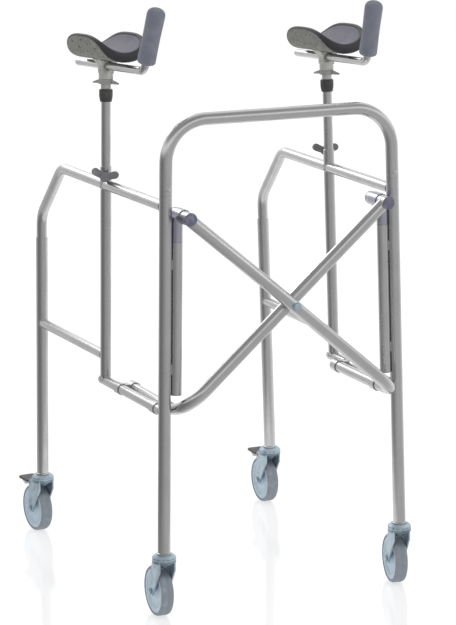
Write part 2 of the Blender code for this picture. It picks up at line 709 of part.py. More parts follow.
def build_hoop(steel, carrier):
    """The hoop that joins the front posts over the cross, with a locating screw in the front of each leg."""
    top = LOWER_RAIL_HEIGHT + (HOOP_HEIGHT - LOWER_RAIL_HEIGHT) / math.cos(FRAME_LEAN)
    foot = FRONT_POST_TOP + SEAT_GAP
    corners = []
    for side, height in ((RIGHT, foot), (RIGHT, top), (LEFT, top), (LEFT, foot)):
        corners.append(frame_matrix(side) @ Vector((side_x(side), FRONT_Y, height)))
    path = rounded_path(corners, [HOOP_CORNER_RADIUS] * 2, 5)
    body = tube(path, POST_RADIUS, WALL, POST_SIDES)
    for side in (RIGHT, LEFT):
        radius = SCREW_HEAD_DIAMETER / 2
        profile = [
            (0.0, POST_RADIUS - WALL / 2),
            (radius, POST_RADIUS - WALL / 2),
            (radius, POST_RADIUS + SCREW_HEAD_STAND / 2),
            (radius * 0.7, POST_RADIUS + SCREW_HEAD_STAND),
            (0.0, POST_RADIUS + SCREW_HEAD_STAND),
        ]
        height = FRONT_POST_TOP + SCREW_HEAD_RISE
        screw = turned(profile, (side_x(side), FRONT_Y, height), (0.0, -1.0, 0.0), SMALL_SIDES)
        body = joined(body, in_frame(screw, side))
    return piece("hoop", body, steel, carrier)


def build_cross_tube(side, steel, carrier):
    """A cross tube: its lower leg lies along this side's rail, its stub tops the other side's guide."""
    plane = FRONT_Y - CROSS_SETOFFS[side]
    stub_plane = FRONT_Y - CROSS_SETOFF
    low_x = side * CROSS_LOW_X
    high_x = -side * CROSS_HIGH_X
    corners = [
        (low_x, FRONT_Y + CROSS_LEG_END, CROSS_PIVOT_HEIGHT),
        (low_x, plane, CROSS_PIVOT_HEIGHT),
        (high_x, stub_plane, STUB_HEIGHT),
    ]
    bends = [CROSS_BEND_RADIUS]
    if plane != stub_plane:
        # The front tube is kinked at the centre bolt, so that both stubs lie level at the front.
        corners.insert(2, (0.0, plane, CROSS_CENTRE_HEIGHT))
        bends.append(CROSS_KINK_RADIUS)
    path = rounded_path(corners, bends, 4)
    sizes = [CROSS_LEG_RADIUS] * 3 + [POST_RADIUS] * (len(path) - 3)
    body = tube(path, sizes, WALL, POST_SIDES, up=(1.0, 0.0, 0.0))
    front = stub_plane - STUB_FRONT_REACH
    back = FRONT_Y + STUB_BACK
    stub = lengthwise(high_x, STUB_HEIGHT, front, back, POST_RADIUS, POST_SIDES)
    body = joined(body, stub)
    bore_ends = (front - POST_DIAMETER, back + POST_DIAMETER)
    bore = lengthwise(high_x, STUB_HEIGHT, *bore_ends, POST_RADIUS - WALL, POST_SIDES)
    bolt_ends = (plane - POST_DIAMETER, plane + POST_DIAMETER)
    bolt_radius = around(BOLT_DIAMETER / 2, RUNNING_GAP, SMALL_SIDES)
    bolt_hole = lengthwise(0.0, CROSS_CENTRE_HEIGHT, *bolt_ends, bolt_radius, SMALL_SIDES)
    body = drilled(body, bore, bolt_hole)
    return piece(f"{SIDE_NAMES[side]}_cross_tube", body, steel, carrier)


def build_stub_cap(side, place, plastic, carrier):
    """The plug in one end of a cross tube's stub."""
    high_x = -side * CROSS_HIGH_X
    end = FRONT_Y - CROSS_SETOFF - STUB_FRONT_REACH if place == "front" else FRONT_Y + STUB_BACK
    outward = -1.0 if place == "front" else 1.0
    profile = [
        (0.0, -CAP_INSERTION),
        (POST_RADIUS - WALL - SEAT_GAP, -CAP_INSERTION),
        (POST_RADIUS - WALL - SEAT_GAP, SEAT_GAP),
        (POST_RADIUS + CAP_LIP, SEAT_GAP),
        (POST_RADIUS + CAP_LIP, CAP_THICKNESS * 0.55),
        (POST_RADIUS * 0.82, CAP_THICKNESS),
        (0.0, CAP_THICKNESS),
    ]
    body = turned(profile, (high_x, end, STUB_HEIGHT), (0.0, outward, 0.0), POST_SIDES)
    return piece(f"{SIDE_NAMES[side]}_cross_{place}_cap", body, plastic, carrier)


def build_centre_bolt(zinc, carrier):
    """The bolt and nut that the two cross tubes turn on."""
    front = CROSS_SETOFFS[LEFT] + POST_RADIUS + SEAT_GAP
    back = CROSS_SETOFFS[RIGHT] - POST_RADIUS - SEAT_GAP
    head = BOLT_HEAD_DIAMETER / 2
    shank = BOLT_DIAMETER / 2
    profile = [
        (0.0, back - BOLT_HEAD_HEIGHT),
        (head * 0.8, back - BOLT_HEAD_HEIGHT),
        (head, back - BOLT_HEAD_HEIGHT / 2),
        (head, back),
        (shank, back),
        (shank, front),
        (head, front),
        (head, front + BOLT_HEAD_HEIGHT / 2),
        (head * 0.8, front + BOLT_HEAD_HEIGHT),
        (0.0, front + BOLT_HEAD_HEIGHT),
    ]
    body = turned(profile, (0.0, FRONT_Y, CROSS_CENTRE_HEIGHT), (0.0, -1.0, 0.0), SMALL_SIDES)
    return piece("centre_bolt", body, zinc, carrier)


def build_saddle(side, zinc, carrier):
    """The plated saddle that joins a stub to the slider's rod, over the guide tube."""
    stub_x = side * CROSS_HIGH_X
    rod_x = side_x(side, GUIDE_INBOARD)
    front = FRONT_Y - SADDLE_LENGTH / 2
    back = FRONT_Y + SADDLE_LENGTH / 2
    boss_bottom = STUB_HEIGHT - SADDLE_BOSS_DROP
    ring = lengthwise(stub_x, STUB_HEIGHT, front, back, POST_RADIUS + SADDLE_WALL, POST_SIDES)
    boss_foot = (rod_x, FRONT_Y, boss_bottom)
    boss = straight(boss_foot, (rod_x, FRONT_Y, STUB_HEIGHT), RAIL_RADIUS, None, RAIL_SIDES)
    stub_hole = lengthwise(stub_x, STUB_HEIGHT, front - POST_RADIUS, back + POST_RADIUS,
                           around(POST_RADIUS, RUNNING_GAP, POST_SIDES), POST_SIDES)
    below = (rod_x, FRONT_Y, boss_bottom - POST_RADIUS)
    seat = (rod_x, FRONT_Y, boss_bottom + ROD_SEAT_DEPTH)
    rod_hole = straight(below, seat, ROD_RADIUS + SEAT_GAP, None, RAIL_SIDES)
    body = drilled(joined(ring, in_frame(boss, side)), stub_hole, in_frame(rod_hole, side))
    return piece(f"{SIDE_NAMES[side]}_saddle", body, zinc, carrier)


def build_rod(side, steel, carrier):
    """The slider's rod, which rises out of the guide tube as the walker folds."""
    x = side_x(side, GUIDE_INBOARD)
    top = STUB_HEIGHT - SADDLE_BOSS_DROP + ROD_SEAT_DEPTH - SEAT_GAP
    rod = straight((x, FRONT_Y, top - ROD_LENGTH), (x, FRONT_Y, top), ROD_RADIUS, WALL, RAIL_SIDES)
    return piece(f"{SIDE_NAMES[side]}_slider_rod", in_frame(rod, side), steel, carrier)


def fork_outline(stem_y, with_pedal):
    """Side view of a fork plate: from the head down and back to the axle's eye."""
    eye = (stem_y + CASTER_TRAIL, WHEEL_RADIUS)
    eye_radius = FORK_EYE_DIAMETER / 2
    head_radius = FORK_HEAD_DIAMETER / 2
    root = FORK_HEAD_BOTTOM + FORK_HEAD_HEIGHT / 2
    front = stem_y - head_radius * 0.72
    outline = [(front, root), (front, FORK_HEAD_BOTTOM - FORK_CROWN_GAP)]
    outline += arc(eye, eye_radius, 205.0, 365.0, 6)
    if with_pedal:
        pin = (stem_y + PEDAL_PIVOT_SETBACK, WHEEL_DIAMETER + PEDAL_PIVOT_RISE)
        outline += arc(pin, PEDAL_KNUCKLE_DIAMETER * 0.75, -20.0, 80.0, 4)
    outline.append((stem_y + head_radius * 0.8, root))
    return outline


def build_fork(name, foot, turn, with_pedal, zinc, carrier):
    """A caster fork: a turned head with a plate down each side of the wheel."""
    x, stem_y = foot
    head_radius = FORK_HEAD_DIAMETER / 2
    chamfer = FORK_HEAD_HEIGHT * 0.25
    profile = [
        (0.0, FORK_HEAD_BOTTOM),
        (head_radius - chamfer, FORK_HEAD_BOTTOM),
        (head_radius, FORK_HEAD_BOTTOM + chamfer),
        (head_radius, FORK_HEAD_TOP - chamfer),
        (head_radius - chamfer, FORK_HEAD_TOP),
        (0.0, FORK_HEAD_TOP),
    ]
    body = turned(profile, (x, stem_y, 0.0), (0.0, 0.0, 1.0), POST_SIDES)
    outline = fork_outline(stem_y, with_pedal)
    for outward in (-1, 1):
        near = x + outward * FORK_INNER_HALF
        far = x + outward * FORK_OUTER_HALF
        body = joined(body, prism(outline, "X", min(near, far), max(near, far)))
    pin_hole = straight((x, stem_y, FORK_HEAD_BOTTOM - FORK_PLATE), (x, stem_y, POST_FOOT),
                        around(STEM_PIN_DIAMETER / 2, RUNNING_GAP, SMALL_SIDES), None, SMALL_SIDES)
    holes = [pin_hole, cross_hole(x, stem_y + CASTER_TRAIL, WHEEL_RADIUS, AXLE_DIAMETER / 2)]
    if with_pedal:
        holes.append(cross_hole(x, stem_y + PEDAL_PIVOT_SETBACK, WHEEL_DIAMETER + PEDAL_PIVOT_RISE,
                                PEDAL_PIN_DIAMETER / 2))
    return piece(f"{name}_fork", moved(drilled(body, *holes), turn), zinc, carrier)


def cross_hole(x, y, z, radius):
    """Cutter for a hole through both plates of a fork."""
    return crossbar(x, y, z, FORK_OUTER_HALF * 2, around(radius, RUNNING_GAP, SMALL_SIDES))


def crossbar(x, y, z, reach, radius):
    """A round bar across a caster, from reach on one side of x to reach on the other."""
    return straight((x - reach, y, z), (x + reach, y, z), radius, None, SMALL_SIDES, up=(0.0, 0.0, 1.0))


def build_axle(name, foot, turn, zinc, carrier):
    """The axle bolt, with its head and nut outside the fork."""
    half = FORK_OUTER_HALF + SEAT_GAP
    shank = AXLE_DIAMETER / 2
    head = AXLE_HEAD_DIAMETER / 2
    profile = [
        (0.0, -half - AXLE_HEAD_HEIGHT),
        (head * 0.75, -half - AXLE_HEAD_HEIGHT),
        (head, -half - AXLE_HEAD_HEIGHT / 2),
        (head, -half),
        (shank, -half),
        (shank, half),
        (head, half),
        (head, half + AXLE_HEAD_HEIGHT / 2),
        (head * 0.75, half + AXLE_HEAD_HEIGHT),
        (0.0, half + AXLE_HEAD_HEIGHT),
    ]
    body = turned(profile, (foot[0], foot[1] + CASTER_TRAIL, WHEEL_RADIUS), (1.0, 0.0, 0.0), SMALL_SIDES)
    return piece(f"{name}_axle", moved(body, turn), zinc, carrier)


def build_wheel(name, foot, turn, rubber, carrier):
    """A moulded wheel with a recessed disc on each side. A flat of the tread lies on the floor."""
    half = WHEEL_WIDTH / 2
    face = half - DISC_RECESS
    end = half + FORK_SIDE_GAP / 2
    boss = HUB_BOSS_DIAMETER / 2
    rim = DISC_DIAMETER / 2
    bore = around(AXLE_DIAMETER / 2, RUNNING_GAP, SMALL_SIDES)
    tread = around(WHEEL_RADIUS, 0.0, WHEEL_SIDES)
    half_profile = [
        (bore, end),
        (boss, end),
        (boss + DISC_RECESS, face),
        (rim, face),
        (rim + DISC_RECESS, half),
        (tread - TREAD_SHOULDER, half),
        (tread, half - TREAD_SHOULDER),
    ]
    profile = half_profile + [(radius, -distance) for radius, distance in reversed(half_profile)]
    body = turned(profile, (foot[0], foot[1] + CASTER_TRAIL, WHEEL_RADIUS), (1.0, 0.0, 0.0), WHEEL_SIDES)
    return piece(f"{name}_wheel", moved(body, turn), rubber, carrier)


def build_pedal(name, foot, turn, dark, carrier):
    """The brake pedal behind a rear caster, with the shoe that it presses on the wheel."""
    x, stem_y = foot
    pin_y = stem_y + PEDAL_PIVOT_SETBACK
    pin_z = WHEEL_DIAMETER + PEDAL_PIVOT_RISE
    knuckle = PEDAL_KNUCKLE_DIAMETER / 2
    inner = FORK_INNER_HALF - RUNNING_GAP
    bottom = pin_z - knuckle + PEDAL_PLATE / 2
    top = bottom + PEDAL_PLATE
    clear_y = pin_y + PEDAL_KNUCKLE_DIAMETER
    half = PEDAL_WIDTH / 2
    corner = PEDAL_CORNER
    outline = [
        (x - inner, pin_y),
        (x + inner, pin_y),
        (x + inner, clear_y),
        (x + half, clear_y + (half - inner)),
        (x + half, stem_y + PEDAL_REACH - corner),
        (x + half - corner, stem_y + PEDAL_REACH),
        (x - half + corner, stem_y + PEDAL_REACH),
        (x - half, stem_y + PEDAL_REACH - corner),
        (x - half, clear_y + (half - inner)),
        (x - inner, clear_y),
    ]
    plate = prism(outline, "Z", bottom, top)
    hinge = crossbar(x, pin_y, pin_z, inner, knuckle)
    pin = crossbar(x, pin_y, pin_z, FORK_OUTER_HALF, PEDAL_PIN_DIAMETER / 2)
    shoe = block((x - WHEEL_WIDTH / 3, clear_y, bottom - BRAKE_SHOE_DROP + PEDAL_PLATE),
                 (x + WHEEL_WIDTH / 3, clear_y + BRAKE_SHOE_LENGTH, bottom + PEDAL_PLATE / 2))
    return piece(f"{name}_brake_pedal", moved(joined(plate, hinge, pin, shoe), turn), dark, carrier)


def build_clamp_knob(side, dark, carrier):
    """The winged screw that holds the support tube at its height."""
    x = side_x(side)
    start = BOSS_REACH + SEAT_GAP
    end = start + KNOB_DEPTH
    hub = KNOB_HUB_DIAMETER / 2
    profile = [
        (0.0, INNER_TUBE_RADIUS + RUNNING_GAP),
        (SCREW_DIAMETER / 2, INNER_TUBE_RADIUS + RUNNING_GAP),
        (SCREW_DIAMETER / 2, start),
        (hub, start),
        (hub, end - KNOB_EDGE),
        (hub - KNOB_EDGE, end),
        (0.0, end),
    ]
    screw = turned(profile, (x, SUPPORT_Y, SCREW_HEIGHT[side]), (0.0, -1.0, 0.0), RAIL_SIDES)
    lobe = KNOB_LOBE_DIAMETER / 2
    lobe_x = KNOB_SPAN / 2 - lobe
    outline = arc((lobe_x, KNOB_LOBE_RISE), lobe, -70.0, 110.0, 6)
    outline += [(0.0, hub * 0.7)]
    outline += arc((-lobe_x, KNOB_LOBE_RISE), lobe, 70.0, 250.0, 6)
    outline += [(0.0, -hub * 0.7)]
    wings = prism(outline, "Y", -start - KNOB_EDGE - KNOB_WING_THICKNESS, -start - KNOB_EDGE)
    roll = Matrix.Rotation(KNOB_ROLL[side], 4, "Y")
    place = Matrix.Translation((x, SUPPORT_Y, SCREW_HEIGHT[side])) @ roll
    body = moved(joined(screw, moved(wings, place)), screw_turn(side))
    return piece(f"{SIDE_NAMES[side]}_clamp_knob", in_frame(body, side), dark, carrier)


def build_support_tube(side, steel, carrier):
    """The sliding support tube, closed at the top by the pin that the head swivels on."""
    top = SUPPORT_TUBE_TOP
    profile = [
        (INNER_TUBE_RADIUS - WALL, SUPPORT_TUBE_BOTTOM),
        (INNER_TUBE_RADIUS, SUPPORT_TUBE_BOTTOM),
        (INNER_TUBE_RADIUS, top),
        (SWIVEL_PIN_DIAMETER / 2, top),
        (SWIVEL_PIN_DIAMETER / 2, top + SWIVEL_PIN_LENGTH),
        (0.0, top + SWIVEL_PIN_LENGTH),
        (0.0, top - SWIVEL_PIN_LENGTH),
        (INNER_TUBE_RADIUS - WALL, top - SWIVEL_PIN_LENGTH),
    ]
    body = turned(profile, (side_x(side), SUPPORT_Y, SUPPORT_RAISE[side]), (0.0, 0.0, 1.0), RAIL_SIDES)
    return piece(f"{SIDE_NAMES[side]}_support_tube", in_frame(body, side), steel, carrier)


def build_bush(side, dark, carrier):
    """The black collar at the top of the support tube."""
    inner = INNER_TUBE_RADIUS + SEAT_GAP
    outer = inner + BUSH_WALL
    top = SUPPORT_TUBE_TOP - SEAT_GAP
    profile = [
        (inner, top - BUSH_LENGTH),
        (outer - BUSH_WALL / 2, top - BUSH_LENGTH),
        (outer, top - BUSH_LENGTH * 0.6),
        (outer, top - BUSH_WALL / 2),
        (outer - BUSH_WALL / 2, top),
        (inner, top),
    ]
    body = turned(profile, (side_x(side), SUPPORT_Y, SUPPORT_RAISE[side]), (0.0, 0.0, 1.0), RAIL_SIDES)
    return piece(f"{SIDE_NAMES[side]}_support_bush", in_frame(body, side), dark, carrier)


def bar_point(side, forward, rise=0.0):
    """A point on the grip bar's straight run, forward of the support axis."""
    height = HEAD_BOTTOM + BAR_HEIGHT_IN_HEAD + SUPPORT_RAISE[side]
    return Vector((side_x(side), SUPPORT_Y - forward, height + forward * math.tan(BAR_TILT) + rise))


def build_head(side, cast, carrier):
    """The cast head: a collared stem on the swivel pin, a block for the grip bar, a cradle for the trough."""
    x = side_x(side)
    lift = SUPPORT_RAISE[side]
    stem_bottom = SUPPORT_TUBE_TOP + RUNNING_GAP
    bore = around(SWIVEL_PIN_DIAMETER / 2, RUNNING_GAP, RAIL_SIDES)
    bore_top = stem_bottom + SWIVEL_PIN_LENGTH
    profile = [
        (bore, stem_bottom),
        (STEM_DIAMETER / 2, stem_bottom),
        (STEM_DIAMETER / 2, WING_RING_TOP + RUNNING_GAP),
        (COLLAR_DIAMETER / 2, WING_RING_TOP + RUNNING_GAP),
        (COLLAR_DIAMETER / 2, HEAD_BOTTOM + HEAD_HEIGHT / 4),
        (0.0, HEAD_BOTTOM + HEAD_HEIGHT / 4),
        (0.0, bore_top),
        (bore, bore_top),
    ]
    stem = turned(profile, (x, SUPPORT_Y, lift), (0.0, 0.0, 1.0), RAIL_SIDES)
    top = CRADLE_TOP + lift
    body = loft([
        ((x, SUPPORT_Y, HEAD_BOTTOM + lift), HEAD_WIDTH / 2, HEAD_LENGTH / 2),
        ((x, SUPPORT_Y, HEAD_TOP - HEAD_FLARE + lift), HEAD_WIDTH / 2, HEAD_LENGTH / 2),
        ((x, SUPPORT_Y, top - CRADLE_LIP), CRADLE_WIDTH / 2, CRADLE_LENGTH / 2),
        ((x, SUPPORT_Y, top), CRADLE_WIDTH / 2, CRADLE_LENGTH / 2),
    ])
    past = [bar_point(side, -CRADLE_LENGTH), bar_point(side, CRADLE_LENGTH)]
    hole = tube(past, BAR_DIAMETER / 2 + RUNNING_GAP, None, RAIL_SIDES, up=(1.0, 0.0, 0.0))
    seat_radius = around(TROUGH_INNER_RADIUS + TROUGH_BASE_THICKNESS, SEAT_GAP, SEAT_SIDES)
    seat = tube([trough_axis(side, -CRADLE_LENGTH), trough_axis(side, CRADLE_LENGTH)], seat_radius, None,
                SEAT_SIDES, up=(1.0, 0.0, 0.0))
    body = drilled(joined(body, stem), hole, seat)
    return piece(f"{SIDE_NAMES[side]}_support_head", in_frame(body, side), cast, carrier)


def build_wing_knob(side, dark, carrier):
    """The winged ring nut around the head's stem, which locks the swivel."""
    x = side_x(side)
    inner = around(STEM_DIAMETER / 2, RUNNING_GAP, RAIL_SIDES)
    outer = inner + WING_RING_WALL
    bottom = SUPPORT_TUBE_TOP + WING_RING_RISE + SUPPORT_RAISE[side]
    top = bottom + WING_RING_HEIGHT
    profile = [(inner, bottom), (outer, bottom), (outer, top), (inner, top)]
    ring = turned(profile, (x, SUPPORT_Y, 0.0), (0.0, 0.0, 1.0), RAIL_SIDES)
    body = ring
    middle = (inner + outer) / 2
    tip_rise = WING_RING_HEIGHT * 0.3
    for outward in (-1, 1):
        outline = [
            (outward * middle, bottom + SEAT_GAP),
            (outward * WING_SPAN / 2, bottom + SEAT_GAP),
            (outward * WING_SPAN / 2, bottom + tip_rise),
            (outward * middle, top - SEAT_GAP),
        ]
        wing = prism(outline, "Y", -WING_THICKNESS / 2, WING_THICKNESS / 2)
        bmesh.ops.rotate(wing, verts=wing.verts, matrix=Matrix.Rotation(WING_ANGLE, 3, "Z"))
        bmesh.ops.translate(wing, verts=wing.verts, vec=(x, SUPPORT_Y, 0.0))
        body = joined(body, wing)
    return piece(f"{SIDE_NAMES[side]}_wing_knob", in_frame(body, side), dark, carrier)


def grip_axis(side):
    """The corner where the grip bar turns up, and the direction of the grip."""
    corner = bar_point(side, BAR_FRONT_REACH)
    roll = GRIP_ROLL[side]
    rise = math.cos(GRIP_LEAN)
    upward = Vector((-side * rise * math.sin(roll), -math.sin(GRIP_LEAN), rise * math.cos(roll)))
    return corner, upward


def grip_start():
    """Distance from the bar's corner to the foot of the grip, where its bend ends."""
    turn = math.pi / 2 - GRIP_LEAN - BAR_TILT
    return BAR_BEND_RADIUS * math.tan(turn / 2) + SEAT_GAP


def build_grip_bar(side, steel, carrier):
    """The bent bar that slides in the head and carries the grip."""
    corner, upward = grip_axis(side)
    end = corner + upward * (grip_start() + GRIP_LENGTH - GRIP_END_WALL - SEAT_GAP)
    path = rounded_path([bar_point(side, -BAR_REAR_REACH), corner, end], [BAR_BEND_RADIUS], 4)
    bar = tube(path, BAR_DIAMETER / 2, BAR_WALL, RAIL_SIDES, up=(1.0, 0.0, 0.0))
    return piece(f"{SIDE_NAMES[side]}_grip_bar", in_frame(bar, side), steel, carrier)


def build_grip(side, foam, carrier):
    """The foam grip, closed at the top."""
    corner, upward = grip_axis(side)
    start = grip_start()
    outer = GRIP_DIAMETER / 2
    inner = around(BAR_DIAMETER / 2, SEAT_GAP, RAIL_SIDES)
    fillet_centre = (outer - GRIP_TOP_FILLET, start + GRIP_LENGTH - GRIP_TOP_FILLET)
    rounding = arc(fillet_centre, GRIP_TOP_FILLET, 0.0, 90.0, 4)
    profile = [
        (inner, start),
        (outer - SEAT_GAP * 4, start),
        (outer, start + SEAT_GAP * 6),
        *rounding,
        (0.0, start + GRIP_LENGTH),
        (0.0, start + GRIP_LENGTH - GRIP_END_WALL),
        (inner, start + GRIP_LENGTH - GRIP_END_WALL),
    ]
    body = turned(profile, corner, upward, RAIL_SIDES)
    return piece(f"{SIDE_NAMES[side]}_grip", in_frame(body, side), foam, carrier)


def trough_axis(side, forward):
    """A point on the axis that the trough is bent round, parallel to the grip bar."""
    seat = CRADLE_TOP + SUPPORT_RAISE[side] - CRADLE_LIP
    height = seat + TROUGH_BASE_THICKNESS + TROUGH_INNER_RADIUS
    return Vector((side_x(side), SUPPORT_Y - forward, height + forward * math.tan(BAR_TILT)))


def trough_point(side, angle, reach, face):
    """A point of the padded trough: angle goes round its outline, reach from its middle, 0, to its rim, 1.

    face is 1 on the side of the forearm, -1 on the outside, and 0 between them on the rim.
    """
    power = 2 / TROUGH_SQUARENESS
    across = reach * math.copysign(abs(math.sin(angle)) ** power, math.sin(angle)) * TROUGH_HALF_ANGLE
    forward = reach * math.copysign(abs(math.cos(angle)) ** power, math.cos(angle)) * TROUGH_LENGTH / 2
    wing = max(abs(across) - TROUGH_FLAT_ANGLE, 0.0) / (TROUGH_HALF_ANGLE - TROUGH_FLAT_ANGLE)
    thinning = (TROUGH_BASE_THICKNESS - TROUGH_WING_THICKNESS) * (1 - math.cos(math.pi * wing)) / 2
    thickness = TROUGH_BASE_THICKNESS - thinning
    depth = thickness * (TROUGH_EDGE_SHARE + (1 - TROUGH_EDGE_SHARE) * math.sqrt(1 - reach ** 8))
    radius = TROUGH_INNER_RADIUS + (thickness - face * depth) / 2
    offset_from_axis = Vector((radius * math.sin(across), 0.0, -radius * math.cos(across)))
    return trough_axis(side, forward - TROUGH_SETBACK) + offset_from_axis


def build_trough(side, foam, carrier):
    """The padded forearm trough: bent round the forearm, thick along its bottom and thin at its wings."""
    spokes = 32
    spoke_angles = [2 * math.pi * (spoke + 0.5) / spokes for spoke in range(spokes)]
    mesh_data = bmesh.new()
    rim = [mesh_data.verts.new(trough_point(side, angle, 1.0, 0)) for angle in spoke_angles]
    for face in (-1, 1):
        middle = mesh_data.verts.new(trough_point(side, 0.0, 0.0, face))
        loops = []
        for reach in (0.25, 0.5, 0.75, 0.9, 0.97):
            places = [trough_point(side, angle, reach, face) for angle in spoke_angles]
            loops.append([mesh_data.verts.new(place) for place in places])
        loops.append(rim)
        for spoke in range(spokes):
            other = (spoke + 1) % spokes
            mesh_data.faces.new((middle, loops[0][spoke], loops[0][other]))
            for loop, following in zip(loops, loops[1:]):
                mesh_data.faces.new((loop[spoke], following[spoke], following[other], loop[other]))
    name = f"{SIDE_NAMES[side]}_forearm_trough"
    return piece(name, in_frame(mesh_data, side), foam, carrier, smooth_angle=math.radians(80.0))


def build_caster(side, post_y, place, zinc, rubber, dark):
    """One caster: fork and axle on the swivel axis, the wheel on its axle, and a brake pedal at the rear."""
    name = f"{SIDE_NAMES[side]}_{place}"
    braked = place == "rear"
    foot = post_foot(side, post_y)
    stand = Matrix.Translation((foot.x, foot.y, 0.0))
    turn = stand @ Matrix.Rotation(CASTER_TURN[side, place], 4, "Z") @ stand.inverted()
    foot = (foot.x, foot.y)
    swivel = pivot(f"{name}_swivel_axis", (*foot, FORK_HEAD_BOTTOM))
    hub = turn @ Vector((foot[0], foot[1] + CASTER_TRAIL, WHEEL_RADIUS))
    spin = pivot(f"{name}_wheel_axis", hub, swivel)
    build_fork(name, foot, turn, braked, zinc, swivel)
    build_axle(name, foot, turn, zinc, swivel)
    build_wheel(name, foot, turn, rubber, spin)
    if braked:
        pin = turn @ Vector((foot[0], foot[1] + PEDAL_PIVOT_SETBACK, WHEEL_DIAMETER + PEDAL_PIVOT_RISE))
        build_pedal(name, foot, turn, dark, pivot(f"{name}_pedal_axis", pin, swivel))


def build_side_frame(side, steel):
    """The welded tubes of one side frame, and the clamps fixed to them."""
    build_front_post(side, steel)
    build_rear_post(side, steel)
    build_side_tube(side, steel)
    build_strut(side, steel)
    build_mid_rail(side, steel)
    build_lower_rail(side, steel)
    build_pivot_clamp(side, "front", CLAMP_FRONT_SETBACK, steel)
    build_pivot_clamp(side, "rear", CLAMP_REAR_SETBACK, steel)


def build_cross(steel, zinc, plastic):
    """The folding cross: two tubes on a centre bolt, each topped by a slider on the other side's guide."""
    right_pivot = pivot("right_cross_axis", (-CROSS_LOW_X, FRONT_Y, CROSS_PIVOT_HEIGHT))
    centre = pivot("centre_axis", (0.0, FRONT_Y, CROSS_CENTRE_HEIGHT), right_pivot)
    build_cross_tube(RIGHT, steel, right_pivot)
    build_stub_cap(RIGHT, "front", plastic, right_pivot)
    build_stub_cap(RIGHT, "rear", plastic, right_pivot)
    build_centre_bolt(zinc, right_pivot)
    build_cross_tube(LEFT, steel, centre)
    build_stub_cap(LEFT, "front", plastic, centre)
    build_stub_cap(LEFT, "rear", plastic, centre)
    for side, carrier in ((RIGHT, centre), (LEFT, right_pivot)):
        top = pivot(f"{SIDE_NAMES[side]}_slider_axis", (side * CROSS_HIGH_X, FRONT_Y, STUB_HEIGHT), carrier)
        build_saddle(side, zinc, top)
        build_rod(side, steel, top)


def build_arm_support(side, steel, cast, dark, foam):
    """One arm support, from its sliding tube up to the trough and grip, and its height clamp's knob."""
    name = SIDE_NAMES[side]
    x = side_x(side)
    head = SUPPORT_TUBE_TOP + SUPPORT_RAISE[side]
    slide = pivot(f"{name}_height_axis", (x, SUPPORT_Y, SOCKET_TOP), None, side)
    swivel = pivot(f"{name}_head_axis", (x, SUPPORT_Y, head), slide, side)
    wing = pivot(f"{name}_wing_axis", (x, SUPPORT_Y, head + WING_RING_RISE), swivel, side)
    bar = pivot(f"{name}_bar_axis", bar_point(side, 0.0), swivel, side)
    clamp = pivot(f"{name}_clamp_axis", (x, SUPPORT_Y, SCREW_HEIGHT[side]), None, side)
    build_support_tube(side, steel, slide)
    build_bush(side, dark, slide)
    build_head(side, cast, swivel)
    build_trough(side, foam, swivel)
    build_wing_knob(side, dark, wing)
    build_grip_bar(side, steel, bar)
    build_grip(side, foam, bar)
    build_clamp_knob(side, dark, clamp)


def main():
    """Build the whole walker."""
    clear_scene()
    steel = finish("chromed_steel", (0.62, 0.62, 0.63), 0.22, 1.0)
    zinc = finish("zinc_plate", (0.52, 0.58, 0.62), 0.38, 0.9)
    plastic = finish("slate_plastic", (0.20, 0.20, 0.26), 0.5, 0.0)
    dark = finish("black_plastic", (0.06, 0.06, 0.065), 0.5, 0.0)
    cast = finish("cast_aluminium", (0.55, 0.55, 0.53), 0.45, 0.8)
    rubber = finish("grey_rubber", (0.22, 0.24, 0.26), 0.6, 0.0)
    foam = finish("charcoal_foam", (0.13, 0.13, 0.155), 0.8, 0.0)
    for side in (RIGHT, LEFT):
        build_side_frame(side, steel)
        build_caster(side, FRONT_Y, "front", zinc, rubber, dark)
        build_caster(side, REAR_Y, "rear", zinc, rubber, dark)
        build_arm_support(side, steel, cast, dark, foam)
    build_cross(steel, zinc, plastic)
    build_hoop(steel, pivot("hoop_axis", (side_x(RIGHT), FRONT_Y, FRONT_POST_TOP), None, RIGHT))


if __name__ == "__main__":
    main()
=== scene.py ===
"""The looks of a folding forearm support walker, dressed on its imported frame.

Everything is in metres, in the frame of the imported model: +Z is up, -Y is the front, and the user
stands at +Y. Each sub-assembly is a class that builds its pieces and gives them their finish.
"""
import json
import logging
import math
from dataclasses import dataclass
from enum import Enum
from typing import Optional, Sequence, Union

import bmesh
import bpy
from mathutils import Matrix, Vector


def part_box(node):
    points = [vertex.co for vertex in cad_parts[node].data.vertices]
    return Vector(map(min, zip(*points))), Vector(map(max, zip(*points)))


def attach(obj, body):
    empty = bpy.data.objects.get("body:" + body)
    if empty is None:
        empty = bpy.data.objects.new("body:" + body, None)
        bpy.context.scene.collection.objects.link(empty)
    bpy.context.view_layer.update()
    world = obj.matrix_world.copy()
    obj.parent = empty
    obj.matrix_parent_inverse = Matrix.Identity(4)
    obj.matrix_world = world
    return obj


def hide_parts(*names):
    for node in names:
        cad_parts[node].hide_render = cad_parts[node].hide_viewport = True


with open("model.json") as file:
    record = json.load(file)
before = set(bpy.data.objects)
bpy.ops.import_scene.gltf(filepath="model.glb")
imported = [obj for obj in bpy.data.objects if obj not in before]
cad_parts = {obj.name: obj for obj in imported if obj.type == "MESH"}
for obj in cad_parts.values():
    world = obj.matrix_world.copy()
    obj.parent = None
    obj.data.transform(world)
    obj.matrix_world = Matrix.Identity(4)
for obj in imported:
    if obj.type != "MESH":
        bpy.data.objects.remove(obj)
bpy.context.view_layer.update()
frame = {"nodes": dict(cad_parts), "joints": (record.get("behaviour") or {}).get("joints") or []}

log = logging.getLogger("walker")
JOINTS = {joint["name"]: joint for joint in frame["joints"]}
Point = Union[Vector, tuple[float, float, float]]
